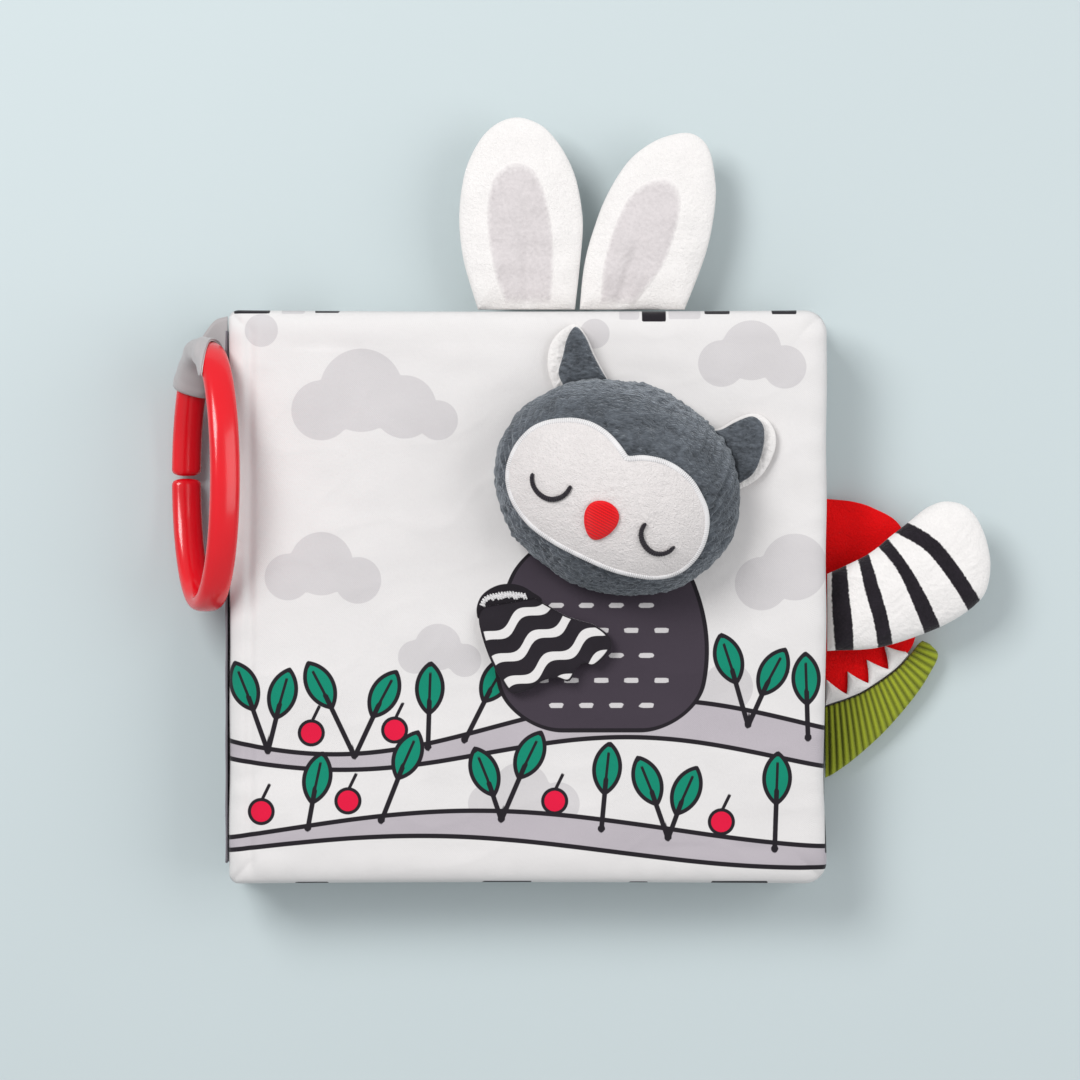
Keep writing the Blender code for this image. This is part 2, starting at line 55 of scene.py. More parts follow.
def waves(x, y, seed, size, count=22):
    # the sum of cosine waves, each with its own direction, phase and length, over the root of
    # half their number: about one in height
    rng = np.random.default_rng(seed)
    total = np.zeros_like(x)
    for _ in range(count):
        turn, phase = rng.uniform(0, fullTurn, 2)
        k = fullTurn / (size * rng.uniform(0.6, 1.7))
        total += np.cos((x * math.cos(turn) + y * math.sin(turn)) * k + phase)
    return total / math.sqrt(count / 2)


def gone(points):
    # the length gone along the points: the running sum of the steps between them
    steps = np.linalg.norm(np.diff(points, axis=0), axis=1)
    return np.concatenate([[0], np.cumsum(steps)])


def spaced(points, count, closed=False):
    # each coordinate read off at equal steps of the length gone
    p = np.array(points, float)
    if closed:
        p = np.vstack([p, p[:1]])
    length = gone(p)
    at = np.linspace(0, length[-1], count, endpoint=not closed)
    return np.stack([np.interp(at, length, p[:, k]) for k in range(p.shape[1])], axis=1)


def smoothPath(points, count):
    # a cubic from each point b to the next c, whose slope at b is half the way from the point
    # before it to c, and at c half the way from b to the point after; then evenly spaced
    p = np.array(points, float)
    p = np.vstack([2 * p[0] - p[1], p, 2 * p[-1] - p[-2]])
    t = np.linspace(0, len(p) - 3, (len(p) - 3) * 24 + 1)
    i = np.minimum(t.astype(int), len(p) - 4)
    f = (t - i)[:, None]
    a, b, c, d = p[i], p[i + 1], p[i + 2], p[i + 3]
    curve = 0.5 * (2 * b + (c - a) * f + (2 * a - 5 * b + 4 * c - d) * f ** 2
                   + (3 * b - 3 * c + d - a) * f ** 3)
    return spaced(curve, count)


def rootedOutline(points, count):
    # a smooth free edge, closed by a straight sewn edge of a fifth as many points
    free = smoothPath(points, count)
    seam = np.linspace(free[-1], free[0], count // 5)[1:-1]
    return np.vstack([free, seam])


def around(count):
    # angles at equal steps round a full turn
    return np.linspace(0, fullTurn, count, endpoint=False)


# meshes

def makePiece(name, points, faces, mats, body, slot=None, nodes=(), data=None, faceMats=None,
              turn=True):
    # a mesh of points in millimetres and faces, with what the frame has to know of it
    mesh = bpy.data.meshes.new(name)
    mesh.from_pydata((points * mm).tolist(), [], faces)
    for m in mats:
        mesh.materials.append(m)
    for key, values in (data or {}).items():
        mesh.attributes.new(key, "FLOAT", "POINT").data.foreach_set(
            "value", np.array(values, np.float32))
    if faceMats is not None:
        mesh.polygons.foreach_set("material_index", np.array(faceMats, np.int32))
    if turn:
        work = bmesh.new()
        work.from_mesh(mesh)
        bmesh.ops.recalc_face_normals(work, faces=work.faces)
        work.to_mesh(mesh)
        work.free()
    mesh.shade_smooth()
    obj = bpy.data.objects.new(name, mesh)
    bpy.context.scene.collection.objects.link(obj)
    if body:
        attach(obj, body)
    if nodes:
        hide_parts(*nodes)
    return obj


def loftPiece(name, rings, paint, body, loop=False, data=None, **more):
    # rings is an array of rings by points by three: each point is joined to the next in its ring
    # and to the same two in the next ring. An open loft is closed by a fan to the mean of each
    # end ring.
    n, m = rings.shape[:2]
    index = np.arange(n * m).reshape(n, m)
    low, high = (index, np.roll(index, -1, 0)) if loop else (index[:-1], index[1:])
    faces = np.stack([low, np.roll(low, -1, 1), np.roll(high, -1, 1), high], -1)
    faces = faces.reshape(-1, 4).tolist()
    points = rings.reshape(-1, 3)
    data = {key: np.reshape(values, (n, m)) for key, values in (data or {}).items()}
    ends = [0, -1]
    if not loop:
        points = np.vstack([points, rings[ends].mean(1)])
        tip = np.full(m, n * m)
        faces += np.stack([np.roll(index[0], -1), index[0], tip], -1).tolist()
        faces += np.stack([index[-1], np.roll(index[-1], -1), tip + 1], -1).tolist()
        data = {key: np.append(values, values[ends].mean(1)) for key, values in data.items()}
    data = {key: values.ravel() for key, values in data.items()}
    return makePiece(name, points, faces, [mat[paint]], body, data=data, **more)


def pillow(outline, middle, level, half, count=26, p=2.6, q=2.0, lift=None, low=None):
    # rings of a padded shape, from the middle of its underside over its edge to its top: the
    # outline shrunk towards the middle by s, at (1 - s^p)^(1/q) of its half depth
    s = np.sin(np.linspace(1, 0.01, count) * math.pi / 2)
    s = np.concatenate([s[::-1], s[1:]])[:, None]
    side = np.where(np.arange(2 * count - 1) < count, -1, 1)[:, None]
    xy = np.array(middle) + (outline - np.array(middle)) * s[..., None]
    x, y = xy[..., 0], xy[..., 1]
    depth = np.where(side > 0, half, half if low is None else low)
    z = level + side * depth * (1 - s ** p) ** (1 / q) + 0 * x
    if lift is not None:
        z = z + lift(x, y, s, side)
    return np.stack([x, y, z], axis=-1)


def tube(path, radius, sides, normals=None, flat=1.0, loop=False):
    # circles of the radius across a path, squeezed by flat along the normals
    ahead = np.roll(path, -1, 0) - np.roll(path, 1, 0) if loop else np.gradient(path, axis=0)
    ahead /= np.linalg.norm(ahead, axis=1)[:, None]
    up = np.tile([0.0, 0.0, 1.0], (len(path), 1)) if normals is None else normals
    side = np.cross(ahead, up)
    side /= np.linalg.norm(side, axis=1)[:, None]
    up = np.cross(side, ahead)
    turn = around(sides)[None, :, None]
    return path[:, None] + radius[:, None, None] * (np.cos(turn) * side[:, None]
                                                    + flat * np.sin(turn) * up[:, None])


# materials

class Sock:
    # a node's socket: arithmetic with it adds a Math node
    def __init__(self, paint, out):
        self.paint, self.out = paint, out

    def math(self, what, *values, clamp=False):
        # one Math node of these values or links
        settings = {"operation": what, "use_clamp": clamp}
        return self.paint.node("Math", settings, dict(enumerate(values)))

    def __add__(self, other):
        return self.math("ADD", self, other)

    def __sub__(self, other):
        return self.math("SUBTRACT", self, other)

    def __mul__(self, other):
        return self.math("MULTIPLY", self, other)

    def __rsub__(self, other):
        return self.math("SUBTRACT", other, self)

    __radd__, __rmul__ = __add__, __mul__

    def held(self):
        # kept between 0 and 1
        return self.math("ADD", self, 0.0, clamp=True)

    def size(self):
        # without its sign
        return self.math("ABSOLUTE", self)

    def sin(self):
        return self.math("SINE", self)

    def below(self, edge, soft, under=1, over=0):
        # one under the edge and nought over it, with a smooth step of twice soft
        return self.paint.node("MapRange", {"interpolation_type": "SMOOTHSTEP"}, {
            "Value": self, "From Min": edge - soft, "From Max": edge + soft, "To Min": under,
            "To Max": over}, "Result")

    def above(self, edge, soft):
        # nought under the edge and one over it
        return self.below(edge, soft, 0, 1)


class Paint:
    # a material: what is the same all over it is set on the shader's own sockets
    def __init__(self, name, colour, roughness=0.9, sheen=0.0, tint=(1, 1, 1), coat=0.0):
        self.mat = bpy.data.materials.new(name)
        self.mat.use_nodes = True
        self.mat.diffuse_color = (*colour, 1)
        self.tree = self.mat.node_tree
        self.shader = self.tree.nodes["Principled BSDF"]
        self.wear({"Base Color": colour, "Roughness": roughness, "Sheen Weight": sheen,
                   "Sheen Roughness": 0.45, "Sheen Tint": tint, "Coat Weight": coat,
                   "Specular IOR Level": 0.5 if coat else 0.25})

    def feed(self, socket, value):
        # a link, a colour or a plain value, by what is given
        if isinstance(value, Sock):
            self.tree.links.new(value.out, socket)
        else:
            socket.default_value = (*value, 1) if socket.type == "RGBA" else value

    def wear(self, sockets):
        # values or links for the shader's sockets
        for key, value in sockets.items():
            self.feed(self.shader.inputs[key], value)

    def node(self, kind, settings, sockets, out=0):
        # any node: its type, its settings, then the values or links of its sockets
        node = self.tree.nodes.new("ShaderNode" + kind)
        for key, value in settings.items():
            setattr(node, key, value)
        for key, value in sockets.items():
            self.feed(node.inputs[key], value)
        return Sock(self, node.outputs[out])

    def data(self, key):
        # a value kept on the mesh's points
        return self.node("Attribute", {"attribute_name": key}, {}, "Fac")

    def where(self):
        # the piece's own coordinates
        return self.node("TexCoord", {}, {}, "Object")

    def noise(self, size, detail=2.0, rough=0.5, stretch=1.0, turn=0.0):
        # grain of about this size in millimetres, drawn out along one direction
        place = self.node("Mapping", {}, {"Vector": self.where(), "Rotation": (0, 0, turn),
                                          "Scale": (1 / stretch, 1, 1)})
        return self.node("TexNoise", {}, {"Vector": place, "Scale": 1 / (size * mm),
                                          "Detail": detail, "Roughness": rough}, "Fac")

    def cells(self, size):
        # the distance to the nearest of scattered points
        return self.node("TexVoronoi", {}, {"Vector": self.where(), "Scale": 1 / (size * mm)},
                         "Distance")

    def mix(self, a, b, share):
        # the colour a, going to b as the share goes from 0 to 1
        return self.node("Mix", {"data_type": "RGBA"}, {0: share, 6: a, 7: b}, 2)

    def tones(self, colour, dark, light, share):
        # from the colour times dark to the colour times light
        return self.mix(shade(colour, dark), shade(colour, light), share)

    def bump(self, height, distance, strength):
        # the distance is the relief's depth in millimetres
        relief = {"Height": height, "Distance": distance * mm, "Strength": strength}
        self.wear({"Normal": self.node("Bump", {}, relief, "Normal")})

    def weave(self, thread):
        # crossing threads, over and under: the product of two sines
        split = self.node("SeparateXYZ", {}, {0: self.where()}).out.node.outputs
        x, y, z = (Sock(self, out) for out in split)
        k = fullTurn / (thread * mm)
        return ((x + z) * k).sin() * ((y + z) * k).sin()


def shade(colour, share):
    # each of the three numbers times the share
    return tuple(c * share for c in colour)


def nap(parts):
    # a half, plus what each noise departs from a half by, times its share
    return sum(((noise - 0.5) * share for noise, share in parts), 0.5).held()


colours = {
    "ground": (0.745, 0.722, 0.712), "pale": (0.60, 0.575, 0.578), "lilac": (0.47, 0.43, 0.46),
    "plum": (0.050, 0.038, 0.052), "ink": (0.012, 0.009, 0.013), "green": (0.0, 0.235, 0.144),
    "accent": (0.72, 0.004, 0.045), "slate": (0.064, 0.072, 0.083), "face": (0.80, 0.755, 0.74),
    "white": (0.86, 0.83, 0.81), "inner": (0.66, 0.615, 0.615), "red": (0.80, 0.0, 0.004),
    "velour": (1.0, 0.0, 0.002), "corduroy": (0.27, 0.315, 0.022), "ribbon": (0.45, 0.42, 0.42),
    "ribbonBack": (0.74, 0.72, 0.72), "ring": (0.76, 0.002, 0.010), "spine": (0.17, 0.155, 0.175),
    "foam": (0.80, 0.78, 0.68), "stuffing": (0.84, 0.83, 0.80), "film": (0.78, 0.81, 0.84),
    "whiteThread": (0.82, 0.80, 0.80), "blackThread": (0.016, 0.012, 0.018),
    # slateRimSheen is a painted sheen: the lighter colour of the head's plush towards its seam
    "slateRimSheen": (0.155, 0.172, 0.178), "floor": (0.56, 0.63, 0.64),
}


def wovenPaint(name, colour, thread, sheen=0.1, rough=0.85):
    # woven cloth, a little soiled in broad patches
    p = Paint(name, colour, rough, sheen)
    broad = p.noise(26, 3)
    cloth = p.weave(thread)
    p.wear({"Base Color": p.tones(colour, 0.95, 1.03, broad + cloth * 0.12)})
    p.bump(cloth * 0.5 + p.noise(1.2, 3), 0.10, 0.5)
    return p


def plushPaint(name, colour, tuft=1.1, sheen=0.7, dark=0.72, light=1.25, tint=(1, 1, 1),
               stretch=1.0, turn=0.0, depth=0.9, rimSheen=None):
    # brushed pile: tufts, broader brushing and fine fibres; rimSheen is a painted sheen, lighter
    # towards the seam
    p = Paint(name, colour, 0.95, sheen, tint)
    tufts = p.noise(tuft, 4, 0.62, stretch, turn)
    brushed = p.noise(6.5, 3, 0.6, stretch, turn)
    fibre = p.noise(tuft * 0.4, 2, 0.5, stretch * 1.4, turn + 0.2)
    tone = p.tones(colour, dark, light, nap(((tufts, 1.7), (brushed, 1.0), (fibre, 0.9))))
    # painted sheen: the colour goes lighter near the rim, where the pile is seen at a slant
    if rimSheen:
        tone = p.mix(tone, rimSheen, p.data("rim").above(0.84, 0.17) * 0.55)
    p.wear({"Base Color": tone})
    p.bump(tufts + brushed * 0.6 + fibre * 0.5, depth, 0.75)
    return p


def earInnerPaint(name, colour):
    # its edge is brushed into the white plush around it
    p = Paint(name, colour, 0.95, 0.25)
    tufts = p.noise(1.1, 4, 0.62)
    tone = p.tones(colour, 0.86, 1.08, nap(((tufts, 1.4), (p.noise(7, 3), 1.0))))
    edge = p.data("rim") + (tufts - 0.5) * 0.25
    p.wear({"Base Color": p.mix(tone, colours["white"], edge.above(0.84, 0.2))})
    p.bump(tufts, 0.4, 0.7)
    return p


def threadPaint(name, colour):
    # a cord of laid threads, lower between them, with painted shade darkening the colour there
    p = Paint(name, colour, 0.5, 0.25)
    p.wear({"Base Color": p.tones(colour, 0.72, 1.12, p.data("strand"))})
    p.bump(p.data("strand"), 0.22, 0.8)
    return p


def printPaint(name, layers):
    # printed cloth: a layer is the colour of the ink, the distance kept on the mesh that it
    # fills to its edge, and a width where only a line at that edge is printed
    p = Paint(name, colours["ground"], 0.82, 0.12)
    broad = p.noise(24, 3)
    cloth = p.weave(0.6)
    tone = p.tones(colours["ground"], 0.94, 1.03, broad + cloth * 0.12)
    for key, colour, width in layers:
        if key == "line":
            ink = colours[colour]
            mask = p.data("lineSide").size().below(1, 0.15) * p.data("lineFar").below(0.9, 0.25)
        else:
            ink = p.tones(colours[colour], 0.93, 1.08, broad + cloth * 0.2)
            gap = p.data(key).size() - width / 2 if width else p.data(key)
            mask = gap.below(0, 0.10)
        tone = p.mix(tone, ink, mask)
    p.wear({"Base Color": tone})
    p.bump(cloth * 0.4 + p.noise(1.3, 3) * 1.2 + broad * 3, 0.12, 0.55)
    return p


def wingPaint(name, colour):
    # black and white by the sine of the phase kept on the mesh, and black at the rim
    p = Paint(name, colour, 0.82, 0.12)
    white = p.tones(colours["ground"], 0.95, 1.0, p.noise(8, 2))
    black = p.tones(colour, 0.8, 1.6, p.noise(8, 2))
    tone = p.mix(black, white, p.data("wave").sin().above(0.40, 0.07))
    p.wear({"Base Color": p.mix(tone, black, p.data("rim").above(0.955, 0.008))})
    p.bump(p.weave(0.6) * 0.4 + p.noise(1.3, 3), 0.12, 0.5)
    return p


def tailPaint(name, colour):
    # white pile with black bands, their edges broken up by the tufts
    p = Paint(name, colour, 0.95, 0.25)
    tufts = p.noise(0.9, 4, 0.62)
    brushed = p.noise(5, 3, 0.6)
    tone = nap(((tufts, 1.3), (brushed, 1.0)))
    white, black = p.tones(colour, 0.93, 1.03, tone), p.tones(colours["ink"], 0.6, 1.7, tone)
    band = (p.data("band") + (tufts - 0.5) * 0.8).below(0, 0.2)
    p.wear({"Base Color": p.mix(white, black, band)})
    p.bump(tufts + brushed * 0.4, 0.5, 0.7)
    return p


def corduroyPaint(name, colour):
    # painted shade: darker in the grooves between the ribs, lighter on the ribs
    p = Paint(name, colour, 0.92, 0.35, (0.9, 1, 0.5))
    rib = p.data("rib")
    pile = p.noise(0.5, 3)
    p.wear({"Base Color": p.tones(colour, 0.30, 1.25, rib * 0.85 + pile * 0.25)})
    p.bump(rib * 1.5 + pile * 0.5, 0.5, 0.8)
    return p


def ringPaint(name, colour):
    # glossy moulded plastic, with light wear in its gloss
    p = Paint(name, colour, 0.25, coat=0.3)
    p.wear({"Coat Roughness": 0.12, "Subsurface Weight": 0.06, "Subsurface Scale": 0.003,
            "Base Color": p.tones(colour, 0.86, 1.06, p.noise(14, 2)),
            "Roughness": p.noise(3, 4) * 0.12 + 0.15})
    p.bump(p.noise(2.2, 2), 0.03, 0.35)
    return p


def filmPaint(name, colour):
    # crumpled film, with painted shade: its colour is darker in the hollows of the crumples and
    # lighter on their crests
    p = Paint(name, colour, 0.28)
    p.bump(p.cells(9), 0.8, 0.8)
    p.wear({"Base Color": p.mix((0.70, 0.73, 0.77), (0.84, 0.87, 0.9), p.cells(9))})
    return p


# each print's name and layers: the distance kept on the mesh, the ink, and the width of a line
# at its edge, or nought where the ink fills it
prints = {
    "cover": ("cover_print", (
        ("pale", "pale", 0), ("hill", "lilac", 0), ("hill", "ink", 1.4), ("leaf", "green", 0),
        ("leaf", "ink", 1.2), ("line", "ink", 0), ("knot", "ink", 0), ("plum", "plum", 0),
        ("plum", "ink", 1.3), ("dash", "pale", 0), ("berry", "accent", 0),
        ("berry", "ink", 1.0), ("greyEdge", "pale", 0), ("edge", "ink", 0))),
    "page": ("page_print", (
        ("pale", "pale", 0), ("leaf", "green", 0), ("leaf", "ink", 1.3),
        ("berry", "accent", 0), ("edge", "ink", 0))),
    "stripes": ("striped_page_print", (("stripe", "ink", 0), ("edge", "ink", 0))),
}
# each row: the function, the material's name, its colour, and what differs from the usual
looks = {
    # the slate plush has a painted sheen, lighter towards the head's seam
    "slate": (plushPaint, "slate_plush", "slate", {
        "dark": 0.42, "light": 1.95, "sheen": 0.6, "tint": (0.75, 0.8, 0.86), "tuft": 1.3,
        "stretch": 2.0, "turn": 1.0, "depth": 1.3, "rimSheen": colours["slateRimSheen"]}),
    "white": (plushPaint, "white_plush", "white",
              {"dark": 0.95, "light": 1.03, "sheen": 0.3, "tuft": 0.8, "depth": 0.5}),
    "inner": (earInnerPaint, "ear_inner_plush", "inner", {}),
    "face": (plushPaint, "face_cloth", "face",
             {"tuft": 0.8, "dark": 0.93, "light": 1.04, "sheen": 0.2}),
    "velour": (plushPaint, "red_velour", "velour",
               {"tuft": 0.7, "dark": 0.88, "light": 1.0, "sheen": 0.3, "tint": (1, 0.3, 0.3)}),
    "felt": (plushPaint, "white_felt", "white",
             {"tuft": 0.6, "dark": 0.95, "light": 1.04, "sheen": 0.2, "depth": 0.35}),
    "whiteThread": (threadPaint, "white_thread", "whiteThread", {}),
    "blackThread": (threadPaint, "black_thread", "blackThread", {}),
    "redThread": (threadPaint, "red_thread", "red", {}),
    "spine": (wovenPaint, "spine_cloth", "spine", {"thread": 0.7}),
    "ribbon": (wovenPaint, "grey_ribbon", "ribbon", {"thread": 0.8, "sheen": 0.3, "rough": 0.6}),
    "ribbonBack": (wovenPaint, "ribbon_back", "ribbonBack",
                   {"thread": 0.8, "sheen": 0.2, "rough": 0.7}),
    "foam": (plushPaint, "foam", "foam",
             {"tuft": 0.9, "dark": 0.85, "light": 1.05, "sheen": 0.0}),
    "stuffing": (plushPaint, "stuffing", "stuffing", {"tuft": 1.8, "dark": 0.85, "light": 1.05}),
    "wing": (wingPaint, "wave_print", "ink", {}),
    "tail": (tailPaint, "banded_plush", "white", {}),
    "corduroy": (corduroyPaint, "green_corduroy", "corduroy", {}),
    "ring": (ringPaint, "red_ring_plastic", "ring", {}),
    "film": (filmPaint, "crinkle_film", "film", {}),
}
mat = {key: printPaint(name, layers).mat for key, (name, layers) in prints.items()}
for key, (make, name, colour, more) in looks.items():
    mat[key] = make(name, colours[colour], **more).mat
print("materials made")


# the printed design, as signed distances in millimetres

def disc(x, y, cx, cy, r):
    # the distance to the centre, less the radius
    return np.hypot(x - cx, y - cy) - r


def lineGap(x, y, ax, ay, bx, by):
    # the distance to the nearest point of the line from a to b
    dx, dy = bx - ax, by - ay
    t = np.clip(((x - ax) * dx + (y - ay) * dy) / (dx * dx + dy * dy), 0, 1)
    return np.hypot(x - ax - t * dx, y - ay - t * dy)


def addStroke(data, x, y, ax, ay, bx, by, half):
    # a thin line is kept as an offset to its side, in half widths, and a distance, so it
    # stays whole between the mesh's points; the nearest line counts
    gap = lineGap(x, y, ax, ay, bx, by)
    side = ((x - ax) * (by - ay) - (y - ay) * (bx - ax)) / math.hypot(bx - ax, by - ay)
    near = gap < data["lineFar"]
    data["lineFar"] = np.where(near, gap, data["lineFar"])
    data["lineSide"] = np.where(near, side / half, data["lineSide"])


def polygonGap(x, y, points):
    # the distance to the nearest edge, negative where a line to the right crosses an odd
    # number of edges
    p = np.array(points, float)
    gap, inside = np.full(x.shape, 1e9), np.zeros(x.shape, bool)
    for (ax, ay), (bx, by) in zip(p, np.roll(p, -1, 0)):
        gap = np.minimum(gap, lineGap(x, y, ax, ay, bx, by))
        rise = by - ay if abs(by - ay) > 1e-9 else 1e-9
        inside ^= ((ay > y) != (by > y)) & (x < (bx - ax) * (y - ay) / rise + ax)
    return np.where(inside, -gap, gap)


def leafShape(x, y, cx, cy, turn, long, wide):
    # the meeting of two discs, so large that it is twice long and twice wide
    a = math.radians(turn)
    u = (x - cx) * math.cos(a) + (y - cy) * math.sin(a)
    v = -(x - cx) * math.sin(a) + (y - cy) * math.cos(a)
    r = (long ** 2 + wide ** 2) / (2 * wide)
    return np.hypot(np.abs(v) + r - wide, u) - r


def join(data, key, gap):
    # the smaller distance of two shapes
    data[key] = np.minimum(data[key], gap)


coverArt = {
    # each disc of a cloud: its middle and its radius
    "clouds": ((-62, 56, 9), (-50, 62, 12.5), (-37, 57, 9.5), (-27, 53, 6), (58, 70, 7),
               (67, 74, 9), (77, 69, 6.5), (70, 4, 8), (80, 9, 10), (-72, 6, 7), (-62, 10, 9.5),
               (-51, 5, 7), (-12, -62, 6), (-2, -58, 8.5), (9, -62, 6.5), (52, -30, 6),
               (60, -27, 7.5), (-34, -18, 5), (-27, -15, 7), (-19, -19, 5), (-80, 80, 5),
               (20, 79, 4.5)),
    # each hill: its level, rise, length and phase, its half width and how that swells
    "hills": ((-43, 6.5, 29, 0.4, 4.2, 1.9), (-73, 5.0, 37, 2.2, 3.2, 1.4)),
    "swellLength": 41,
    # each plant: its place, its hill, and the direction of each stem
    "plants": ((-78, 0, (74, 112)), (-52, 0, (62, 118)), (-30, 0, (88,)), (-19, 0, (60,)),
               (66, 0, (62, 108)), (84, 0, (92,)), (-66, 1, (78,)), (-44, 1, (66,)),
               (-8, 1, (64, 112)), (22, 1, (84,)), (42, 1, (66, 112)), (74, 1, (88,))),
    "stem": {"foot": 3.5, "tall": 13.0, "less": 2.5, "step": 3.0, "root": 2, "half": 0.75},
    "knot": {"down": 1.6, "radius": 1.15},
    "leaf": {"up": 3, "long": 7.6, "wide": 3.9, "vein": 7, "half": 0.42},
    "berries": ((-65, 0), (-40, 0), (-80, 1), (-54, 1), (8, 1), (58, 1)),
    "berry": {"up": 8.5, "radius": 3.6, "stalk": (3, 2.2, 7.5), "half": 0.5},
    # a rounded bell under the head, and its rows of dashes
    "bell": {"x": 22, "y": -8, "half": 31, "taper": 0.16, "round": 0.010, "corner": 14,
             "middle": -2, "tall": 16},
    "dash": {"row": 7.5, "step": 9, "shift": 4.5, "half": 1.6, "thick": 0.75, "reach": 23,
             "less": 0.012, "low": -26, "high": 8},
}
noPrint = 9.0  # the value kept where no dash or line is near


def hillLine(x, k):
    # a sine wave about the hill's level
    level, rise, length, phase, _, _ = coverArt["hills"][k]
    return level + rise * np.sin(x / length + phase)


def addPlants(data, x, y):
    # stems from the hill's line, each with a knot at its foot and a veined leaf at its tip
    stem, knot, tipLeaf = (coverArt[key] for key in ("stem", "knot", "leaf"))
    for px, k, turns in coverArt["plants"]:
        foot = float(hillLine(np.array(float(px)), k)) + stem["foot"]
        for i, turn in enumerate(turns):
            c, s = math.cos(math.radians(turn)), math.sin(math.radians(turn))
            tall = stem["tall"] - stem["less"] * k + stem["step"] * ((i * 7 + abs(px)) % 3)
            tip = px + tall * c, foot + tall * s
            addStroke(data, x, y, px, foot - stem["root"], *tip, stem["half"])
            join(data, "knot", disc(x, y, px, foot - knot["down"], knot["radius"]))
            middle, end = tall + tipLeaf["up"], tall + tipLeaf["vein"]
            join(data, "leaf", leafShape(x, y, px + middle * c, foot + middle * s, turn,
                                         tipLeaf["long"], tipLeaf["wide"]))
            addStroke(data, x, y, *tip, px + end * c, foot + end * s, tipLeaf["half"])


def addBell(data, x, y):
    # a rounded box whose half width shrinks with the height and its square; its dashes are
    # rounded lines in staggered rows, only where the bell has room for a whole one
    bell, dash = coverArt["bell"], coverArt["dash"]
    u, v = x - bell["x"], y - bell["y"]
    wide = bell["half"] - bell["taper"] * v - bell["round"] * v * v
    up = v - bell["middle"]
    data["plum"] = np.hypot(np.maximum(np.abs(u) - wide + bell["corner"], 0),
                            np.maximum(np.abs(up) - bell["tall"], 0)) - bell["corner"]
    row = np.round(up / dash["row"])
    at = row * dash["row"]
    cell = u + dash["shift"] * (row % 2)
    cell = cell - dash["step"] * np.round(cell / dash["step"])
    gap = np.hypot(np.maximum(np.abs(cell) - dash["half"], 0), up - at) - dash["thick"]
    fits = np.abs(u - cell) < dash["reach"] - dash["less"] * at * at
    fits &= (at > dash["low"]) & (at < dash["high"])
    data["dash"] = np.where(fits, gap, noPrint)


def coverData(x, y):
    # one distance for each ink: clouds of discs, two hills, plants, the bell and berries
    keys = "pale", "hill", "leaf", "plum", "berry", "knot", "lineFar"
    data = {key: np.full(x.shape, nowhere) for key in keys}
    data["lineSide"] = np.full(x.shape, noPrint)
    for cloud in coverArt["clouds"]:
        join(data, "pale", disc(x, y, *cloud))
    for k, (_, rise, length, phase, wide, swell) in enumerate(coverArt["hills"]):
        half = wide + swell * np.sin(x / coverArt["swellLength"] + k)
        steep = np.sqrt(1 + (rise / length * np.cos(x / length + phase)) ** 2)
        join(data, "hill", (np.abs(y - hillLine(x, k)) - half) / steep)
    addPlants(data, x, y)
    addBell(data, x, y)
    berry = coverArt["berry"]
    low, over, high = berry["stalk"]
    for px, k in coverArt["berries"]:
        foot = float(hillLine(np.array(float(px)), k)) + berry["up"]
        join(data, "berry", disc(x, y, px, foot, berry["radius"]))
        addStroke(data, x, y, px, foot + low, px + over, foot + high, berry["half"])
    return data


# the printed hem of the wing flap, and bars along the cover's edges: each bar's two ends and
# the level from which it runs over the edge
wingRoot = ((-15.2, -6.5), (-15.4, -3.0), (-13.8, 0.6), (-10.0, 3.2), (-5.8, 4.0), (-1.8, 3.3),
            (1.4, 1.4), (4.4, -1.0), (2.0, -4.0), (-8.0, -5.5))
bars = {
    "top": ((-88.5, -77.5, 85.1), (-64, -56.5, 85.3), (34.2, 41.4, 82.6), (53, 60.6, 84.9),
            (73.2, 80.7, 84.9)),
    "low": ((-14, 1, 85.3), (30, 36, 85.5), (55, 72, 85.3), (-70, -60, 85.6)),
    "grey": ((27.4, 33.4, 83.2), (42.2, 51.8, 83.4), (-74, -67, 85.0)),
    "page": ((-80, -60, 84.9), (-20, -12, 84.9), (28, 40, 84.9), (60, 88, 84.9)),
    # a bar down part of the free edge: where it begins, its middle and its half length
    "coverSide": (89.2, -55, 22), "pageSide": (86.0, -52, 26),
}
pageArt = {"count": 5, "x": (-68, 34), "y": (-66, 33), "stray": 5, "leaf": (8.5, 4.2),
           "cloud": ((-6, -1, 4.5), (0, 2, 6.5), (6, -1, 5)), "berry": 3.4,
           "stripe": {"pitch": 16, "wave": 2.5, "length": 9, "half": 3.2, "x": 84, "y": 80.5}}


def edgeData(x, y, rows):
    # the larger of the distance to a bar's sides and to its level
    gap = np.full(x.shape, nowhere)
    for low, high, level in rows:
        side = np.abs(x - (low + high) / 2) - (high - low) / 2
        gap = np.minimum(gap, np.maximum(side, level - y))
    return gap


def sideBar(x, y, bar):
    # the larger of the distance to where the bar begins and to its two ends
    begin, middle, half = bar
    return np.maximum(begin - x, np.abs(y - middle) - half)


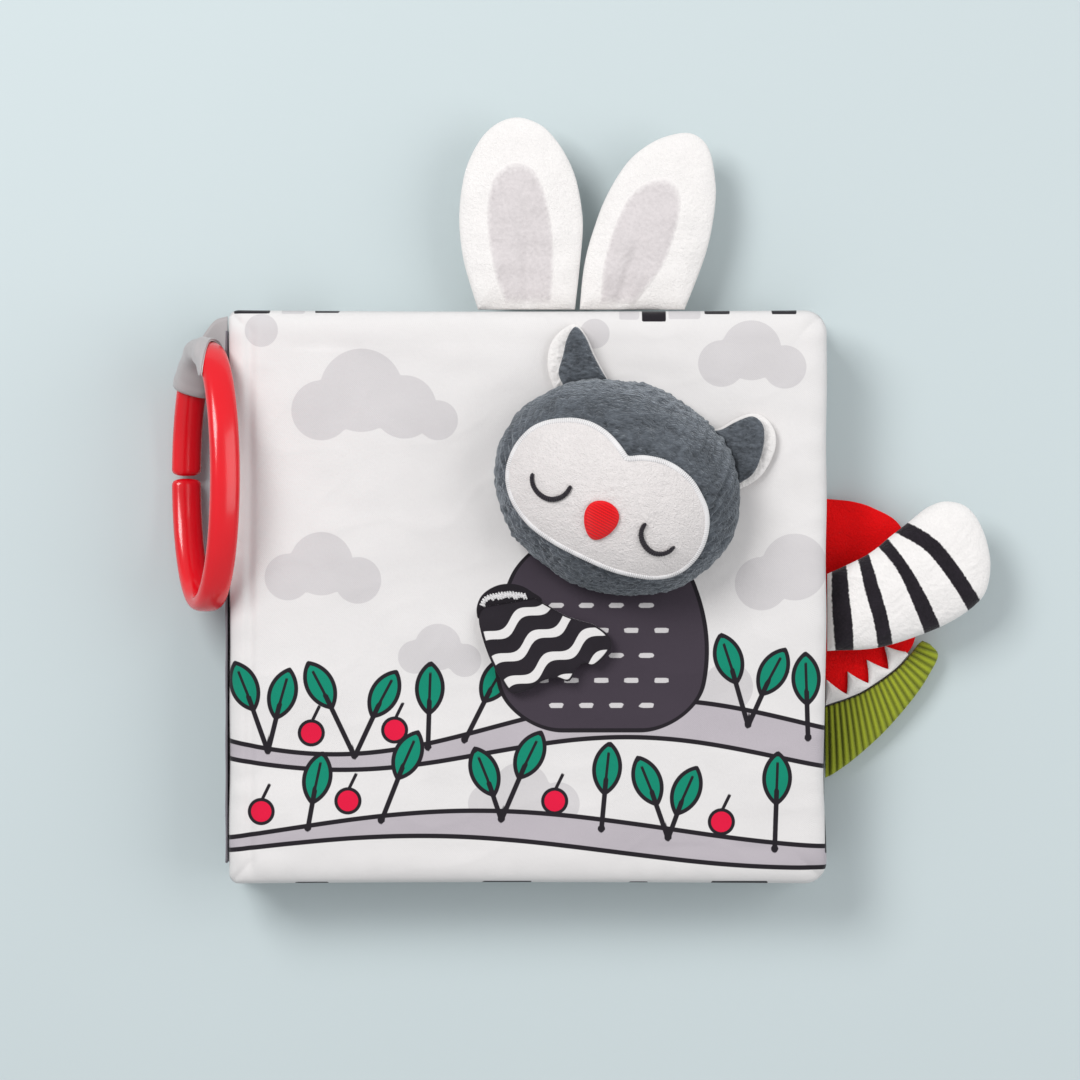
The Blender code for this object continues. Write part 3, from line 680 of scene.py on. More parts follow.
def pageData(x, y, seed):
    # clouds, leaves and berries by turns on a loose grid, and wavy stripes
    rng = np.random.default_rng(seed)
    data = {key: np.full(x.shape, nowhere) for key in ("pale", "leaf", "berry", "stripe")}
    (x0, dx), (y0, dy), stray = pageArt["x"], pageArt["y"], pageArt["stray"]
    for i in range(pageArt["count"]):
        for j in range(pageArt["count"]):
            cx = x0 + dx * i + rng.uniform(-stray, stray)
            cy = y0 + dy * j + rng.uniform(-stray, stray)
            kind = (i + 2 * j + seed) % 3
            if kind == 0:
                for ox, oy, r in pageArt["cloud"]:
                    join(data, "pale", disc(x, y, cx + ox, cy + oy, r))
            elif kind == 1:
                turn = rng.uniform(0, 180)
                join(data, "leaf", leafShape(x, y, cx, cy, turn, *pageArt["leaf"]))
            else:
                join(data, "berry", disc(x, y, cx, cy, pageArt["berry"]))
    look = pageArt["stripe"]
    wave = y - look["pitch"] * np.round(y / look["pitch"]) + look["wave"] * np.sin(
        x / look["length"])
    frameGap = np.maximum(np.abs(x) - look["x"], np.abs(y) - look["y"])
    data["stripe"] = np.maximum(np.abs(wave) - look["half"], frameGap)
    data["edge"] = np.minimum(edgeData(x, y, bars["page"]), sideBar(x, y, bars["pageSide"]))
    return data


def coverAll(x, y):
    # the cover's print, with the bars over its edges and the wing flap's printed hem
    data = coverData(x, y)
    edge = np.minimum(edgeData(x, y, bars["top"]), edgeData(x, -y, bars["low"]))
    root = polygonGap(x, y, smoothPath(wingRoot, 40))
    data["edge"] = np.minimum(edge, np.minimum(sideBar(x, y, bars["coverSide"]), root))
    data["greyEdge"] = edgeData(x, y, bars["grey"])
    return data


# leaves

# the leaves: half sizes and corners, the roll at the seam, its puckers, and on the cover the dip
# round the head and the groove along the spine
leaf = {"halfX": 90.0, "halfY": 86.25, "spineCorner": 3.0, "freeCorner": 7.0, "half": 4.93,
        "roll": 9.5, "pucker": 0.36, "pitch": 1.55, "sink": 0.36, "film": 4.2, "quick": (90, 86),
        "dip": {"at": 1.12, "wide": 0.17, "deep": 0.45, "vary": 0.22, "folds": 9},
        "groove": {"x": -83.5, "wide": 1.5, "deep": 0.9}}
head = {"x": 26.7, "y": 33.0, "turn": math.radians(-21), "a": 37.0, "b": 31.0, "rise": 25.0,
        "base": 31.3, "middle": 36.3}


def headLocal(x, y):
    # the cover's x and y, moved to the head's middle and turned to its own axes
    c, s = math.cos(head["turn"]), math.sin(head["turn"])
    dx, dy = x - head["x"], y - head["y"]
    return dx * c + dy * s, -dx * s + dy * c


def leafGrid(nx, ny):
    # a grid over a square, closer near its edges, pulled in along rays from the middle to where
    # they meet the round corners
    ease = 0.35
    t, s = np.linspace(-1, 1, nx), np.linspace(-1, 1, ny)
    u, v = np.meshgrid((1 - ease) * t + ease * np.sin(t * math.pi / 2),
                       (1 - ease) * s + ease * np.sin(s * math.pi / 2), indexing="ij")
    hx, hy = leaf["halfX"], leaf["halfY"]
    x, y = u * hx, v * hy
    reach = np.maximum(np.maximum(np.abs(u), np.abs(v)), 1e-6)
    qx, qy = np.abs(x / reach), np.abs(y / reach)
    r = np.where(x > 0, leaf["freeCorner"], leaf["spineCorner"])
    cx, cy = hx - r, hy - r
    dot, size = qx * cx + qy * cy, qx ** 2 + qy ** 2
    root = np.maximum(dot ** 2 - size * (cx ** 2 + cy ** 2 - r ** 2), 0)
    t = np.where((qx > cx) & (qy > cy), (dot + np.sqrt(root)) / size, 1.0)
    return x * t, y * t, u, v


def leafHeight(x, y, u, v, seed, face):
    # a flat middle that rolls down to the seam on all four sides, with puckers along the seam,
    # broad swells, sharp crease lines and, on the cover, a dip round the head and at the spine
    dx, dy = (1 - np.abs(u)) * leaf["halfX"], (1 - np.abs(v)) * leaf["halfY"]

    def roll(d):
        # a rounded shoulder, from nought at the seam to one
        return (1 - (1 - np.clip(d / leaf["roll"], 0, 1)) ** 2.4) ** (1 / 2.1)

    near = np.minimum(dx, dy)
    along = np.where(dx < dy, y, x)
    pucker = np.cos(along / leaf["pitch"] + 1.4 * np.sin(along / 13 + seed)) * np.exp(-near / 4.5)
    pucker *= (1 - np.exp(-near / 1.0)) * (0.6 + 0.4 * waves(x, y, seed + 5, 40))
    broad = waves(x, y, seed, 46) * 0.26 + waves(x, y, seed + 1, 15) * 0.07
    crest = 1 - np.abs(waves(x, y, seed + 2, 34, 9))
    lines = 0.16 * np.clip(crest, 0, 1) ** 3 + waves(x * 0.35, y, seed + 3, 11) * 0.05
    inner = np.clip(near / 10, 0, 1)
    z = (leaf["half"] * (roll(dx) * roll(dy)) + (broad + lines - leaf["sink"]) * inner
         + leaf["pucker"] * pucker)
    if face == "cover":
        lu, lv = headLocal(x, y)
        away, turn = np.hypot(lu / head["a"], lv / head["b"]), np.arctan2(lv, lu)
        dip, groove = leaf["dip"], leaf["groove"]
        fold = dip["deep"] + dip["vary"] * np.cos(dip["folds"] * turn + 2 * np.sin(2 * turn))
        z -= np.exp(-((away - dip["at"]) / dip["wide"]) ** 2) * fold
        line = np.exp(-((x - groove["x"]) / groove["wide"]) ** 2)
        z -= groove["deep"] * line * np.clip(dy / 6, 0, 1)
        z = np.where(away < 1.0, np.minimum(z, leaf["half"] - 0.15), z)
    # the cloth never sinks to the film inside
    least = leaf["film"] * np.clip((near - 6) / 6, 0, 1)
    return np.where(z < least + 0.25, least + 0.25 * np.exp((z - least - 0.25) / 0.25), z)


def leafPad(name, level, body, nodes, top, bottom, seed, fine):
    # two grids, over and under the level, that share their rim; top and bottom are each a
    # paint, the print's distances and the kind of face
    nx, ny = fine
    x, y, u, v = leafGrid(nx, ny)
    sway = waves(x, y, seed + 9, 50) * 0.10
    zTop = leafHeight(x, y, u, v, seed, top[2])
    zLow = leafHeight(x, y, u, v, seed + 30, bottom[2])
    rim = (np.abs(u) > 1 - 1e-9) | (np.abs(v) > 1 - 1e-9)
    zTop[rim], zLow[rim] = 0, 0
    # the edges sway a little and draw in between the corners
    edgeX, edgeY = np.sign(u) * np.abs(u) ** 8, np.sign(v) * np.abs(v) ** 8
    x = x + sway * edgeX - 0.35 * edgeX * (1 - v ** 2)
    y = y - 0.45 * edgeY * (1 - u ** 2)
    if top[2] == "cover":
        x -= 1.0 * np.exp(-((y + 52) / 22) ** 2) * np.clip(u, 0, 1) ** 6
    upper = np.stack([x, y, level + zTop], axis=-1).reshape(-1, 3)
    lower = np.stack([x, y, level - zLow], axis=-1).reshape(-1, 3)
    index = np.arange(nx * ny).reshape(nx, ny)
    free = ~rim.ravel()
    below = np.where(free, np.cumsum(free) - 1 + nx * ny, index.ravel()).reshape(nx, ny)

    def quads(k):
        # each point with the next in one direction, in both, and in the other
        return np.stack([k[:-1, :-1], k[1:, :-1], k[1:, 1:], k[:-1, 1:]], -1).reshape(-1, 4)

    up, down = quads(index), quads(below)[:, ::-1]
    sides = top[1](x, y), bottom[1](x, y)
    data = {}
    for key in {**sides[0], **sides[1]}:
        over, under = (side.get(key, np.full(x.shape, nowhere)).ravel() for side in sides)
        data[key] = np.concatenate([over, under[free]])
    obj = makePiece(name, np.vstack([upper, lower[free]]), up.tolist() + down.tolist(),
                    [mat[top[0]], mat[bottom[0]]], body, "pale_cloth", nodes, data,
                    [0] * len(up) + [1] * len(down), turn=False)


def page(seed):
    # a page's own print
    return lambda x, y: pageData(x, y, seed)


for name, level, body, nodes, top, bottom, seed, fine in (
        ("front_cover_cloth", 26.0, "front_cover", ("front_cover_panel", "front_cover_lining"),
         ("cover", coverAll, "cover"), ("page", page(3), "page"), 11, (215, 206)),
        ("middle_leaf_cloth", 15.5, "middle_leaf", ("middle_leaf_front", "middle_leaf_back"),
         ("stripes", page(4), "page"), ("page", page(5), "page"), 21, (205, 196)),
        ("back_cover_cloth", 5.0, "back_cover", ("back_cover_lining", "back_cover_panel"),
         ("page", page(7), "page"), ("stripes", page(8), "page"), 31, (205, 196))):
    leafPad(name, level, body, nodes, top, bottom, seed, fine)
print("leaves made")


# spine cloth, bent between the leaves

spine = {"half": 80, "stations": 120, "steps": 14, "inner": -90.35, "outer": -90.75,
         "innerBow": 0.12, "outerBow": 0.495, "ripple": 0.06, "pitch": 3.1}


def spineStrip(name, node, low, high):
    # each section goes up the inner face and down the outer one, each a half sine wave out of
    # upright; the outer face ripples along the spine
    t = np.linspace(0, 1, spine["steps"])
    bow = np.sin(math.pi * t)
    px = np.concatenate([spine["inner"] - spine["innerBow"] * bow,
                         (spine["outer"] - spine["outerBow"] * bow)[::-1]])
    up = np.linspace(low, high, spine["steps"])
    y, z = np.meshgrid(np.linspace(-spine["half"], spine["half"], spine["stations"]),
                       np.concatenate([up, up[::-1]]), indexing="ij")
    outer = np.arange(2 * spine["steps"]) >= spine["steps"]
    x = px + outer * spine["ripple"] * np.sin(y / spine["pitch"])
    obj = loftPiece(name, np.stack([x, y, z], -1), "spine", None, slot="spine_cloth",
                    nodes=(node,))
    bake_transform(obj)


spineStrip("spine_lower_cloth", "spine_lower", 4.0, 15.1)
spineStrip("spine_upper_cloth", "spine_upper", 16.0, 27.0)


# owl head

shell = {"sides": (120, 360), "rings": (60, 170), "innerRings": 24, "wall": 1.5, "radius": 34}
face = {
    "middle": (-1.2, -4.6), "low": 0.55, "high": 1.5, "fuzz": 0.06, "rings": 34,
    "border": {"inset": -0.3, "height": 1.35, "radius": 0.95, "pitch": 0.62, "flat": 0.55},
    "edge": ((-0.9, 8.7), (-4.7, 11.2), (-8.9, 13.2), (-13.7, 14.2), (-18.4, 13.8),
             (-22.6, 12.3), (-27.0, 9.8), (-30.3, 6.3), (-32.4, 1.2), (-32.9, -3.7),
             (-32.2, -8.2), (-30.0, -12.6), (-26.2, -16.6), (-20.0, -20.2), (-12.1, -22.4),
             (-1.9, -23.6), (7.8, -23.9), (16.0, -22.7), (20.3, -21.4), (24.3, -19.1),
             (27.2, -15.9), (29.1, -11.7), (29.8, -7.0), (29.1, -2.0), (27.1, 2.5),
             (23.8, 6.0), (19.7, 9.1), (14.6, 11.0), (9.6, 11.5), (4.2, 10.6), (0.6, 9.0)),
}
nose = {"middle": (-1.4, -11.5), "wide": 5.0, "tall": 5.9, "egg": 0.24, "low": 1.85, "high": 2.0,
        "crown": 1.6, "row": 0.8, "stitch": 0.07, "rings": 60}
eyes = {
    "height": 2.05, "radius": 0.86, "pitch": 0.7, "flat": 0.7, "count": 96,
    "left": ((-25.0, -5.4), (-24.6, -7.2), (-23.2, -9.2), (-20.6, -10.7), (-17.4, -10.9),
             (-14.7, -9.3), (-13.5, -7.2), (-13.1, -4.9)),
    "right": ((11.4, -7.3), (11.0, -9.6), (11.8, -11.9), (13.8, -13.8), (16.4, -14.7),
              (18.8, -14.3), (20.8, -12.8), (21.9, -10.6)),
}


def headWorld(u, v, z):
    # the head's own axes turned and moved to its place on the cover
    c, s = math.cos(head["turn"]), math.sin(head["turn"])
    return np.stack([head["x"] + u * c - v * s, head["y"] + u * s + v * c,
                     np.broadcast_to(z, np.shape(u))], axis=-1)


def headHeight(u, v, grow):
    # the height of the head's ellipsoid, grown by so much all round
    flat = (u / (head["a"] + grow)) ** 2 + (v / (head["b"] + grow)) ** 2
    return head["middle"] + (head["rise"] + grow) * np.sqrt(np.maximum(0, 1 - flat))


def headNormals(u, v):
    # the ellipsoid's own direction outwards: each coordinate over its half axis squared
    a, b, r = head["a"], head["b"], head["rise"]
    z = np.sqrt(np.maximum(0.02, 1 - (u / a) ** 2 - (v / b) ** 2))
    n = np.stack([u / a ** 2, v / b ** 2, z / r], axis=-1)
    c, s = math.cos(head["turn"]), math.sin(head["turn"])
    n = np.stack([n[:, 0] * c - n[:, 1] * s, n[:, 0] * s + n[:, 1] * c, n[:, 2]], axis=-1)
    return n / np.linalg.norm(n, axis=1)[:, None]


def headShell():
    # an ellipsoid in rings from its top to where it meets the cover, and a plain inner wall
    # back up; the nap stands up in fine tufts, and the seam at the base draws in
    sides, count = shell["sides"][grade], shell["rings"][grade]
    turn = around(sides)
    walls = []
    for grow, rows in ((0.0, count), (-shell["wall"], shell["innerRings"])):
        rise = head["rise"] + grow
        t = np.linspace(0.004, 1, rows)[:, None]
        slant = math.acos((head["base"] - head["middle"]) / rise) * t
        u = (head["a"] + grow) * np.sin(slant) * np.cos(turn)
        v = (head["b"] + grow) * np.sin(slant) * np.sin(turn)
        up = rise * np.cos(slant) + 0 * u
        k = 1
        if grow == 0:
            z = head["middle"] + up
            fuzz = 0.22 * waves(u, v + z, 3, 2.6, 40) + 0.25 * waves(u, v + z, 4, 14)
            k = 1 + (fuzz + 0.35) * np.minimum(1, (1 - t) * 9) / shell["radius"]
        walls.append(headWorld(u * k, v * k, head["middle"] + up * k))
    rings = np.concatenate([walls[0], walls[1][::-1]])
    rings[..., 2] = np.maximum(rings[..., 2], head["base"])
    # the share from the top to the seam, by which the plush's painted sheen is laid near the seam
    share = np.concatenate([np.linspace(0, 1, count), np.linspace(1, 0, shell["innerRings"])])
    obj = loftPiece("owl_head_cloth", rings, "slate", "front_cover",
                    data={"rim": np.repeat(share, sides)}, slot="slate_plush",
                    nodes=("owl_head_plush",))


def faceEdge(count, grow=0.0):
    # the face's outline, moved out from its middle
    edge = smoothPath(face["edge"] + face["edge"][:1], count + 1)[:-1]
    away = edge - face["middle"]
    return edge + grow * away / np.linalg.norm(away, axis=1)[:, None]


def shrunk(edge, middle, rings):
    # the edge shrunk towards its middle by s, in rings
    s = np.linspace(1, 0.02, rings)[:, None]
    p = np.array(middle) + (edge - np.array(middle)) * s[..., None]
    return s, p[..., 0], p[..., 1]


def shut(under, over):
    # an underside from its middle to its edge, then an upper side back to the middle
    return np.concatenate([under[::-1], over])


def stitched(name, path, normals, radius, pitch, paint, body, slot=None, nodes=(), flat=0.6,
             loop=False):
    # a satin-stitched cord: its radius rises over each thread, as a cosine of the length gone
    sides = 9
    strand = 0.5 + 0.5 * np.cos(fullTurn * gone(path) / pitch)
    rings = tube(path, radius * (0.9 + 0.12 * strand), sides, normals, flat, loop)
    return loftPiece(name, rings, paint, body, loop, {"strand": np.repeat(strand, sides)},
                     slot=slot, nodes=nodes)


def owlFace():
    # a thin patch that follows the head's surface, and a stitched border on its edge
    s, u, v = shrunk(faceEdge(220), face["middle"], face["rings"])
    fuzz = face["fuzz"] * waves(u, v, 8, 3) * (1 - s ** 6)
    loftPiece("owl_face", shut(headWorld(u, v, headHeight(u, v, face["low"])),
                               headWorld(u, v, headHeight(u, v, face["high"]) + fuzz)),
              "face", "front_cover", slot="face_cloth", nodes=("owl_face_patch",))
    look = face["border"]
    u, v = spaced(faceEdge(240, look["inset"]), 560, True).T
    stitched("owl_face_border", headWorld(u, v, headHeight(u, v, look["height"])),
             headNormals(u, v), look["radius"], look["pitch"], "whiteThread", "front_cover",
             "face_cloth", flat=look["flat"], loop=True)


def owlNose():
    # an egg-shaped pad; satin stitch is laid in slanting rows across it
    turn = around(150)
    x, y = nose["middle"]
    edge = np.stack([x + nose["wide"] * np.cos(turn) * (1 + nose["egg"] * np.sin(turn)),
                     y + nose["tall"] * np.sin(turn)], axis=-1)
    s, u, v = shrunk(edge, nose["middle"], nose["rings"])
    row = 0.5 + 0.5 * np.cos(fullTurn * (v + 0.12 * u) / nose["row"]) * (1 - s ** 8)
    top = nose["crown"] * np.sqrt(1 - s * s * 0.98) + nose["stitch"] * row
    loftPiece("owl_nose_stitch", shut(headWorld(u, v, headHeight(u, v, nose["low"])),
                                      headWorld(u, v, headHeight(u, v, nose["high"]) + top)),
              "redThread", "front_cover", data={"strand": shut(row, row)}, slot="nose_cloth",
              nodes=("owl_nose",))


def owlEye(side):
    # a crescent of thread, thinner towards its rounded ends
    u, v = smoothPath(eyes[side], eyes["count"]).T
    along = np.linspace(-1, 1, eyes["count"])
    thick = eyes["radius"] * (1 - 0.25 * along ** 2) * np.sqrt(1.001 - along ** 26)
    stitched(f"owl_eye_{side}", headWorld(u, v, headHeight(u, v, eyes["height"])),
             headNormals(u, v), thick, eyes["pitch"], "blackThread", "front_cover", "thread",
             (f"owl_eye_stitch_{side}",), flat=eyes["flat"])


headShell()
owlFace()
owlNose()
for side in ("left", "right"):
    owlEye(side)


# owl ears: a folded plush triangle with a white back; each edge is given with the two angles
# between which its foot lies on the head

owlEars = {
    "foot": (37.25, 31.2), "backLevel": 32.6, "frontLevel": 35.7,
    "left": {"back": (112, 139, ((-32.0, 25.5), (-33.8, 31.0), (-33.1, 36.4), (-29.4, 41.0),
                                 (-24.9, 39.0), (-20.6, 34.8), (-16.6, 31.2))),
             "front": (112.5, 134, ((-28.6, 25.5), (-29.2, 30.6), (-29.9, 36.2), (-28.8, 40.2),
                                    (-25.2, 38.6), (-21.0, 34.4), (-17.0, 30.9)))},
    "right": {"back": (23, 57, ((22.9, 28.0), (26.0, 32.0), (30.3, 35.2), (35.0, 34.8),
                                (38.7, 31.6), (40.2, 26.4), (39.4, 19.6), (37.2, 15.5))),
              "front": (26, 56, ((23.2, 27.4), (26.3, 31.0), (30.1, 34.1), (33.7, 33.1),
                                 (35.9, 29.1), (36.9, 23.2), (36.4, 18.0)))},
}


def earOutline(start, end, edge):
    # the free edge, closed along the ellipse of the head
    turn = np.radians(np.linspace(start, end, 40))
    foot = np.stack([np.cos(turn), np.sin(turn)], axis=-1) * owlEars["foot"]
    line = smoothPath([foot[-1], *edge, foot[0]], 120)
    local = np.vstack([line, foot[1:-1]])
    return headWorld(local[:, 0], local[:, 1], 0)[:, :2]


def owlEar(side):
    # two pillows, one behind the other
    def tufts(x, y, s, way):
        # fine noise and broader noise, none at the seam
        return (0.16 * waves(x, y, 5, 1.9) + 0.14 * waves(x, y, 6, 6)) * (1 - s ** 4)

    look = owlEars[side]
    back, front = earOutline(*look["back"]), earOutline(*look["front"])
    rings = pillow(back, back.mean(0), owlEars["backLevel"], 1.15, 16, lift=tufts)
    a = loftPiece(f"owl_ear_back_cloth_{side}", rings, "white", "front_cover",
                  slot="white_plush", nodes=(f"owl_ear_back_{side}",))
    rings = pillow(front, front.mean(0), owlEars["frontLevel"], 2.0, 26, 2.4, 1.9, tufts, 1.6)
    b = loftPiece(f"owl_ear_front_cloth_{side}", rings, "slate", "front_cover",
                  slot="slate_plush", nodes=(f"owl_ear_front_{side}",))


for side in ("left", "right"):
    owlEar(side)
print("head made")


# wing flap

wing = {
    "middle": (5.0, -13.0), "seam": (-14.4, -2.6), "along": (0.991, 0.132),
    "edge": ((2.1, -0.4), (6.0, -2.5), (11.0, -5.4), (15.5, -7.0), (19.6, -8.2), (24.0, -11.4),
             (24.7, -15.6), (20.4, -20.2), (17.2, -19.7), (14.8, -21.0), (12.4, -25.0),
             (8.6, -24.2), (4.6, -24.9), (0.9, -27.3), (-5.0, -28.6), (-8.6, -23.8),
             (-11.4, -18.4), (-13.3, -13.2), (-14.6, -8.0), (-14.5, -5.0),
             (-13.2, -3.2), (-10.8, -2.5)),
    "wave": {"pitch": 7.8, "phase": 4.954, "height": 1.3, "length": 13.5, "shift": 0.6,
             "top": -0.3, "turn": (0.85, 0.53)},
    # each layer: its two levels, how far each side dips at the seam, and its paint
    "layers": (("wing_flap_lining_cloth", 31.5, 32.5, (1.0, 1.5), "ribbonBack",
                "wing_flap_lining", "pale_cloth"),
               ("wing_flap_cloth", 32.8, 34.2, (1.7, 2.3), "wing", "wing_flap_top",
                "wing_cloth")),
}
zigzag = {"count": 36, "points": 340, "level": 26.2, "radius": 0.3, "pitch": 0.5, "stray": 0.35,
          "towards": (2.0, -14.0), "out": -0.2,
          "base": ((-14.3, -2.2), (-12.9, -0.1), (-9.8, 1.0), (-5.6, 1.5), (-0.6, 0.9)),
          "reach": ((0, 10, 20, 35), (1.2, 1.8, 2.2, 1.7))}


def wingLayer(name, low, high, dips, paint, node, slot):
    # a thin pillow, and the values of its print
    def lift(x, y, s, way):
        # it rises with the distance from its seam, in soft waves, and dips at the seam as a
        # bell curve
        sx, sy = wing["seam"]
        ax, ay = wing["along"]
        away = np.abs((x - sx) * -ay + (y - sy) * ax)
        rise = 0.075 * away * (0.7 + 0.3 * np.sin(x / 5.0)) * np.clip(away / 10, 0, 1)
        return rise - np.where(way < 0, dips[0], dips[1]) * np.exp(-(away / 4.5) ** 2)

    outline, middle = rootedOutline(wing["edge"], 250), np.array(wing["middle"])
    rings = pillow(outline, middle, (low + high) / 2, (high - low) / 2, 22, 8, 3, lift)
    # the phase of the printed waves, which stop below the sewn edge, where the cloth is black
    look = wing["wave"]
    c, s = look["turn"]
    u, v = rings[..., 0] * c + rings[..., 1] * s, rings[..., 1] * c - rings[..., 0] * s
    wavy = v + look["height"] * np.sin(u * fullTurn / look["length"] + look["shift"])
    phase = np.minimum(wavy, look["top"]) * fullTurn / look["pitch"] + look["phase"]
    share = (np.linalg.norm(rings[..., :2] - middle, axis=-1)
             / np.linalg.norm(outline - middle, axis=-1)[None])
    obj = loftPiece(name, rings, paint, "wing_flap", data={"wave": phase, "rim": share},
                    slot=slot, nodes=(node,))


def wingZigzag():
    # stitches hold the black hem to the cover: they go out and in from a base line, and lie at
    # the height of the cover's cloth
    count = zigzag["count"]
    rng = np.random.default_rng(5)
    base = smoothPath(zigzag["base"], count)
    inward = np.array(zigzag["towards"]) - base
    inward /= np.linalg.norm(inward, axis=1)[:, None]
    reach = np.interp(np.arange(count), *zigzag["reach"])
    reach += rng.uniform(-zigzag["stray"], zigzag["stray"], count)
    off = np.where(np.arange(count) % 2 == 0, zigzag["out"], reach)
    line = np.column_stack([base + off[:, None] * inward, np.full(count, zigzag["level"])])
    path = spaced(line, zigzag["points"])
    x, y = path[:, 0], path[:, 1]
    path[:, 2] += leafHeight(x, y, x / leaf["halfX"], y / leaf["halfY"], 11, "cover")
    stitched("wing_flap_zigzag", path, None, zigzag["radius"], zigzag["pitch"], "whiteThread",
             "front_cover", "felt")


for row in wing["layers"]:
    wingLayer(*row)
wingZigzag()


# rabbit ears: each edge and patch, the middle, and the foot and lean of its crease

ears = {
    "seam": 87, "level": 15.5, "half": 3.3, "rings": (18, 32), "swell": (2.8, 1.9),
    "patchLevel": 15.43, "patchHalf": 0.5, "patchRings": 26, "crease": 1.9,
    "creaseWidth": 2.1, "gather": 0.35,
    "left": {"edge": ((-15.2, 86.9), (-19.1, 99.9), (-20.6, 109.0), (-20.8, 117.0),
                      (-19.9, 124.9), (-18.0, 131.8), (-13.9, 139.2), (-8.8, 143.6),
                      (-2.7, 145.1), (4.0, 142.7), (8.5, 138.2), (11.9, 132.8), (14.4, 126.8),
                      (16.0, 119.2), (16.6, 111.8), (15.8, 101.5), (14.2, 86.9)),
             "patch": ((-6.9, 88.4), (-10.3, 97.5), (-12.6, 111.8), (-12.0, 122.8),
                       (-9.0, 129.2), (-3.4, 131.7), (1.9, 129.2), (5.4, 121.5), (7.5, 110.0),
                       (7.8, 97.5), (7.0, 88.4)),
             "middle": (-2.0, 112.0), "foot": -0.4, "lean": 0.02},
    "right": {"edge": ((15.6, 86.9), (16.6, 97.6), (18.0, 105.0), (20.0, 111.6), (22.8, 119.2),
                       (26.8, 126.8), (31.3, 132.8), (37.0, 137.2), (42.6, 139.6), (48.6, 140.4),
                       (52.9, 138.2), (55.4, 133.7), (56.7, 126.0), (56.8, 120.0), (55.7, 111.8),
                       (54.0, 104.4), (51.2, 96.4), (47.4, 86.9)),
              "patch": ((21.4, 88.4), (22.6, 100.3), (25.3, 110.0), (29.8, 120.2),
                        (35.6, 125.4), (41.3, 126.8), (45.2, 124.2), (46.4, 118.5),
                        (44.6, 109.5), (41.0, 100.0), (35.6, 92.6), (32.4, 88.4)),
              "middle": (36.5, 112.0), "foot": 27.4, "lean": 0.30},
}


def rabbitEar(side):
    # a pillow with a crease up from the seam, a nap of fine tufts, and a thin patch on top
    look = ears[side]
    middle = np.array(look["middle"])
    outline = rootedOutline(look["edge"], 260)
    p, q = ears["swell"]

    def fold(x, y, s, way):
        # the crease dips as a bell curve across its line, and dies out 30 mm up
        up = y - ears["seam"]
        line = x - look["foot"] - up * look["lean"]
        crease = np.exp(-(line / ears["creaseWidth"]) ** 2) * np.clip(1 - up / 30, 0, 1)
        gather = ears["gather"] * np.cos(x / 1.9) * np.exp(-up / 5)
        tufts = 0.05 * waves(x, y, 12, 2.0) + 0.17 * waves(x, y, 13, 13)
        return way * ((tufts + gather) * (1 - s ** 6) - ears["crease"] * crease * (1 - s ** 4))

    def turned(x, y):
        # the direction from the ear's middle, and how far out
        return np.arctan2(y - middle[1], x - middle[0]), np.hypot(x - middle[0], y - middle[1])

    def sit(x, y, s, way):
        # the patch follows the ear's swell and its crease: the ear's own height at the share of
        # the way from its middle to its edge
        turn, out = turned(x, y)
        share = np.clip(out / np.interp(turn, turns, reach, period=fullTurn), 0, 0.999)
        return ears["half"] * (1 - share ** p) ** (1 / q) + fold(x, y, share, 1)

    body = f"rabbit_ear_{side}"
    rings = pillow(outline, middle, ears["level"], ears["half"], ears["rings"][grade], p, q,
                   fold)
    obj = loftPiece(f"rabbit_ear_cloth_{side}", rings, "white", body, slot="white_plush",
                    nodes=(f"rabbit_ear_plush_{side}",))
    turns, reach = turned(outline[:, 0], outline[:, 1])
    order = np.argsort(turns)
    turns, reach = turns[order], reach[order]
    inner, count = rootedOutline(look["patch"], 170), ears["patchRings"]
    rings = pillow(inner, inner.mean(0), ears["patchLevel"], ears["patchHalf"], count, 3.5, 2.0,
                   sit)
    share = np.concatenate([np.linspace(0, 1, count), np.linspace(1, 0, count - 1)])
    loftPiece(f"rabbit_ear_inner_{side}", rings, "inner", body,
              data={"rim": np.repeat(share, len(inner))}, slot="inner_plush",
              nodes=(f"rabbit_ear_patch_{side}",))


for side in ("left", "right"):
    rabbitEar(side)
print("ears made")


# striped tail: its edge, and each band's two sides

freeSeam = 90.6  # the x of the free edge's seam
tail = {
    "middle": (116.0, 4.0), "level": 15.5, "half": 6.0, "rings": (20, 34),
    "swell": (2.3, 1.9),
    "edge": ((90.6, 6.8), (102.6, 12.6), (109.5, 18.0), (115.2, 22.5), (121.0, 27.0),
             (126.6, 28.8), (133.0, 27.0), (137.6, 20.5), (140.0, 11.0), (139.0, 2.5),
             (135.6, -2.4), (128.5, -7.4), (119.0, -11.6), (105.6, -15.6), (90.6, -16.5)),
    "bands": (((92.0, 9.5), (91.8, 0.7), (92.2, -7.2), (93.0, -17.0), (98.6, -17.0),
               (97.9, -7.2), (97.0, 0.7), (96.3, 9.5)),
              ((99.6, 12.5), (101.7, 2.0), (104.3, -7.2), (106.2, -17.0), (110.9, -17.0),
               (108.2, -4.6), (105.6, 3.9), (102.9, 13.5)),
              ((104.8, 16.5), (111.5, 7.9), (116.1, -2.0), (121.6, -15.0), (127.0, -14.0),
               (121.3, -2.0), (115.4, 8.5), (107.8, 19.0)),
              ((109.5, 20.2), (119.4, 14.4), (126.6, 5.9), (135.6, -8.0), (139.0, -4.5),
               (129.9, 9.2), (122.6, 17.7), (112.0, 24.0))),
}


def seamOutline(points, count):
    # an outline that stays outside the seam
    outline = rootedOutline(points, count)
    outline[:, 0] = np.maximum(outline[:, 0], freeSeam)
    return outline


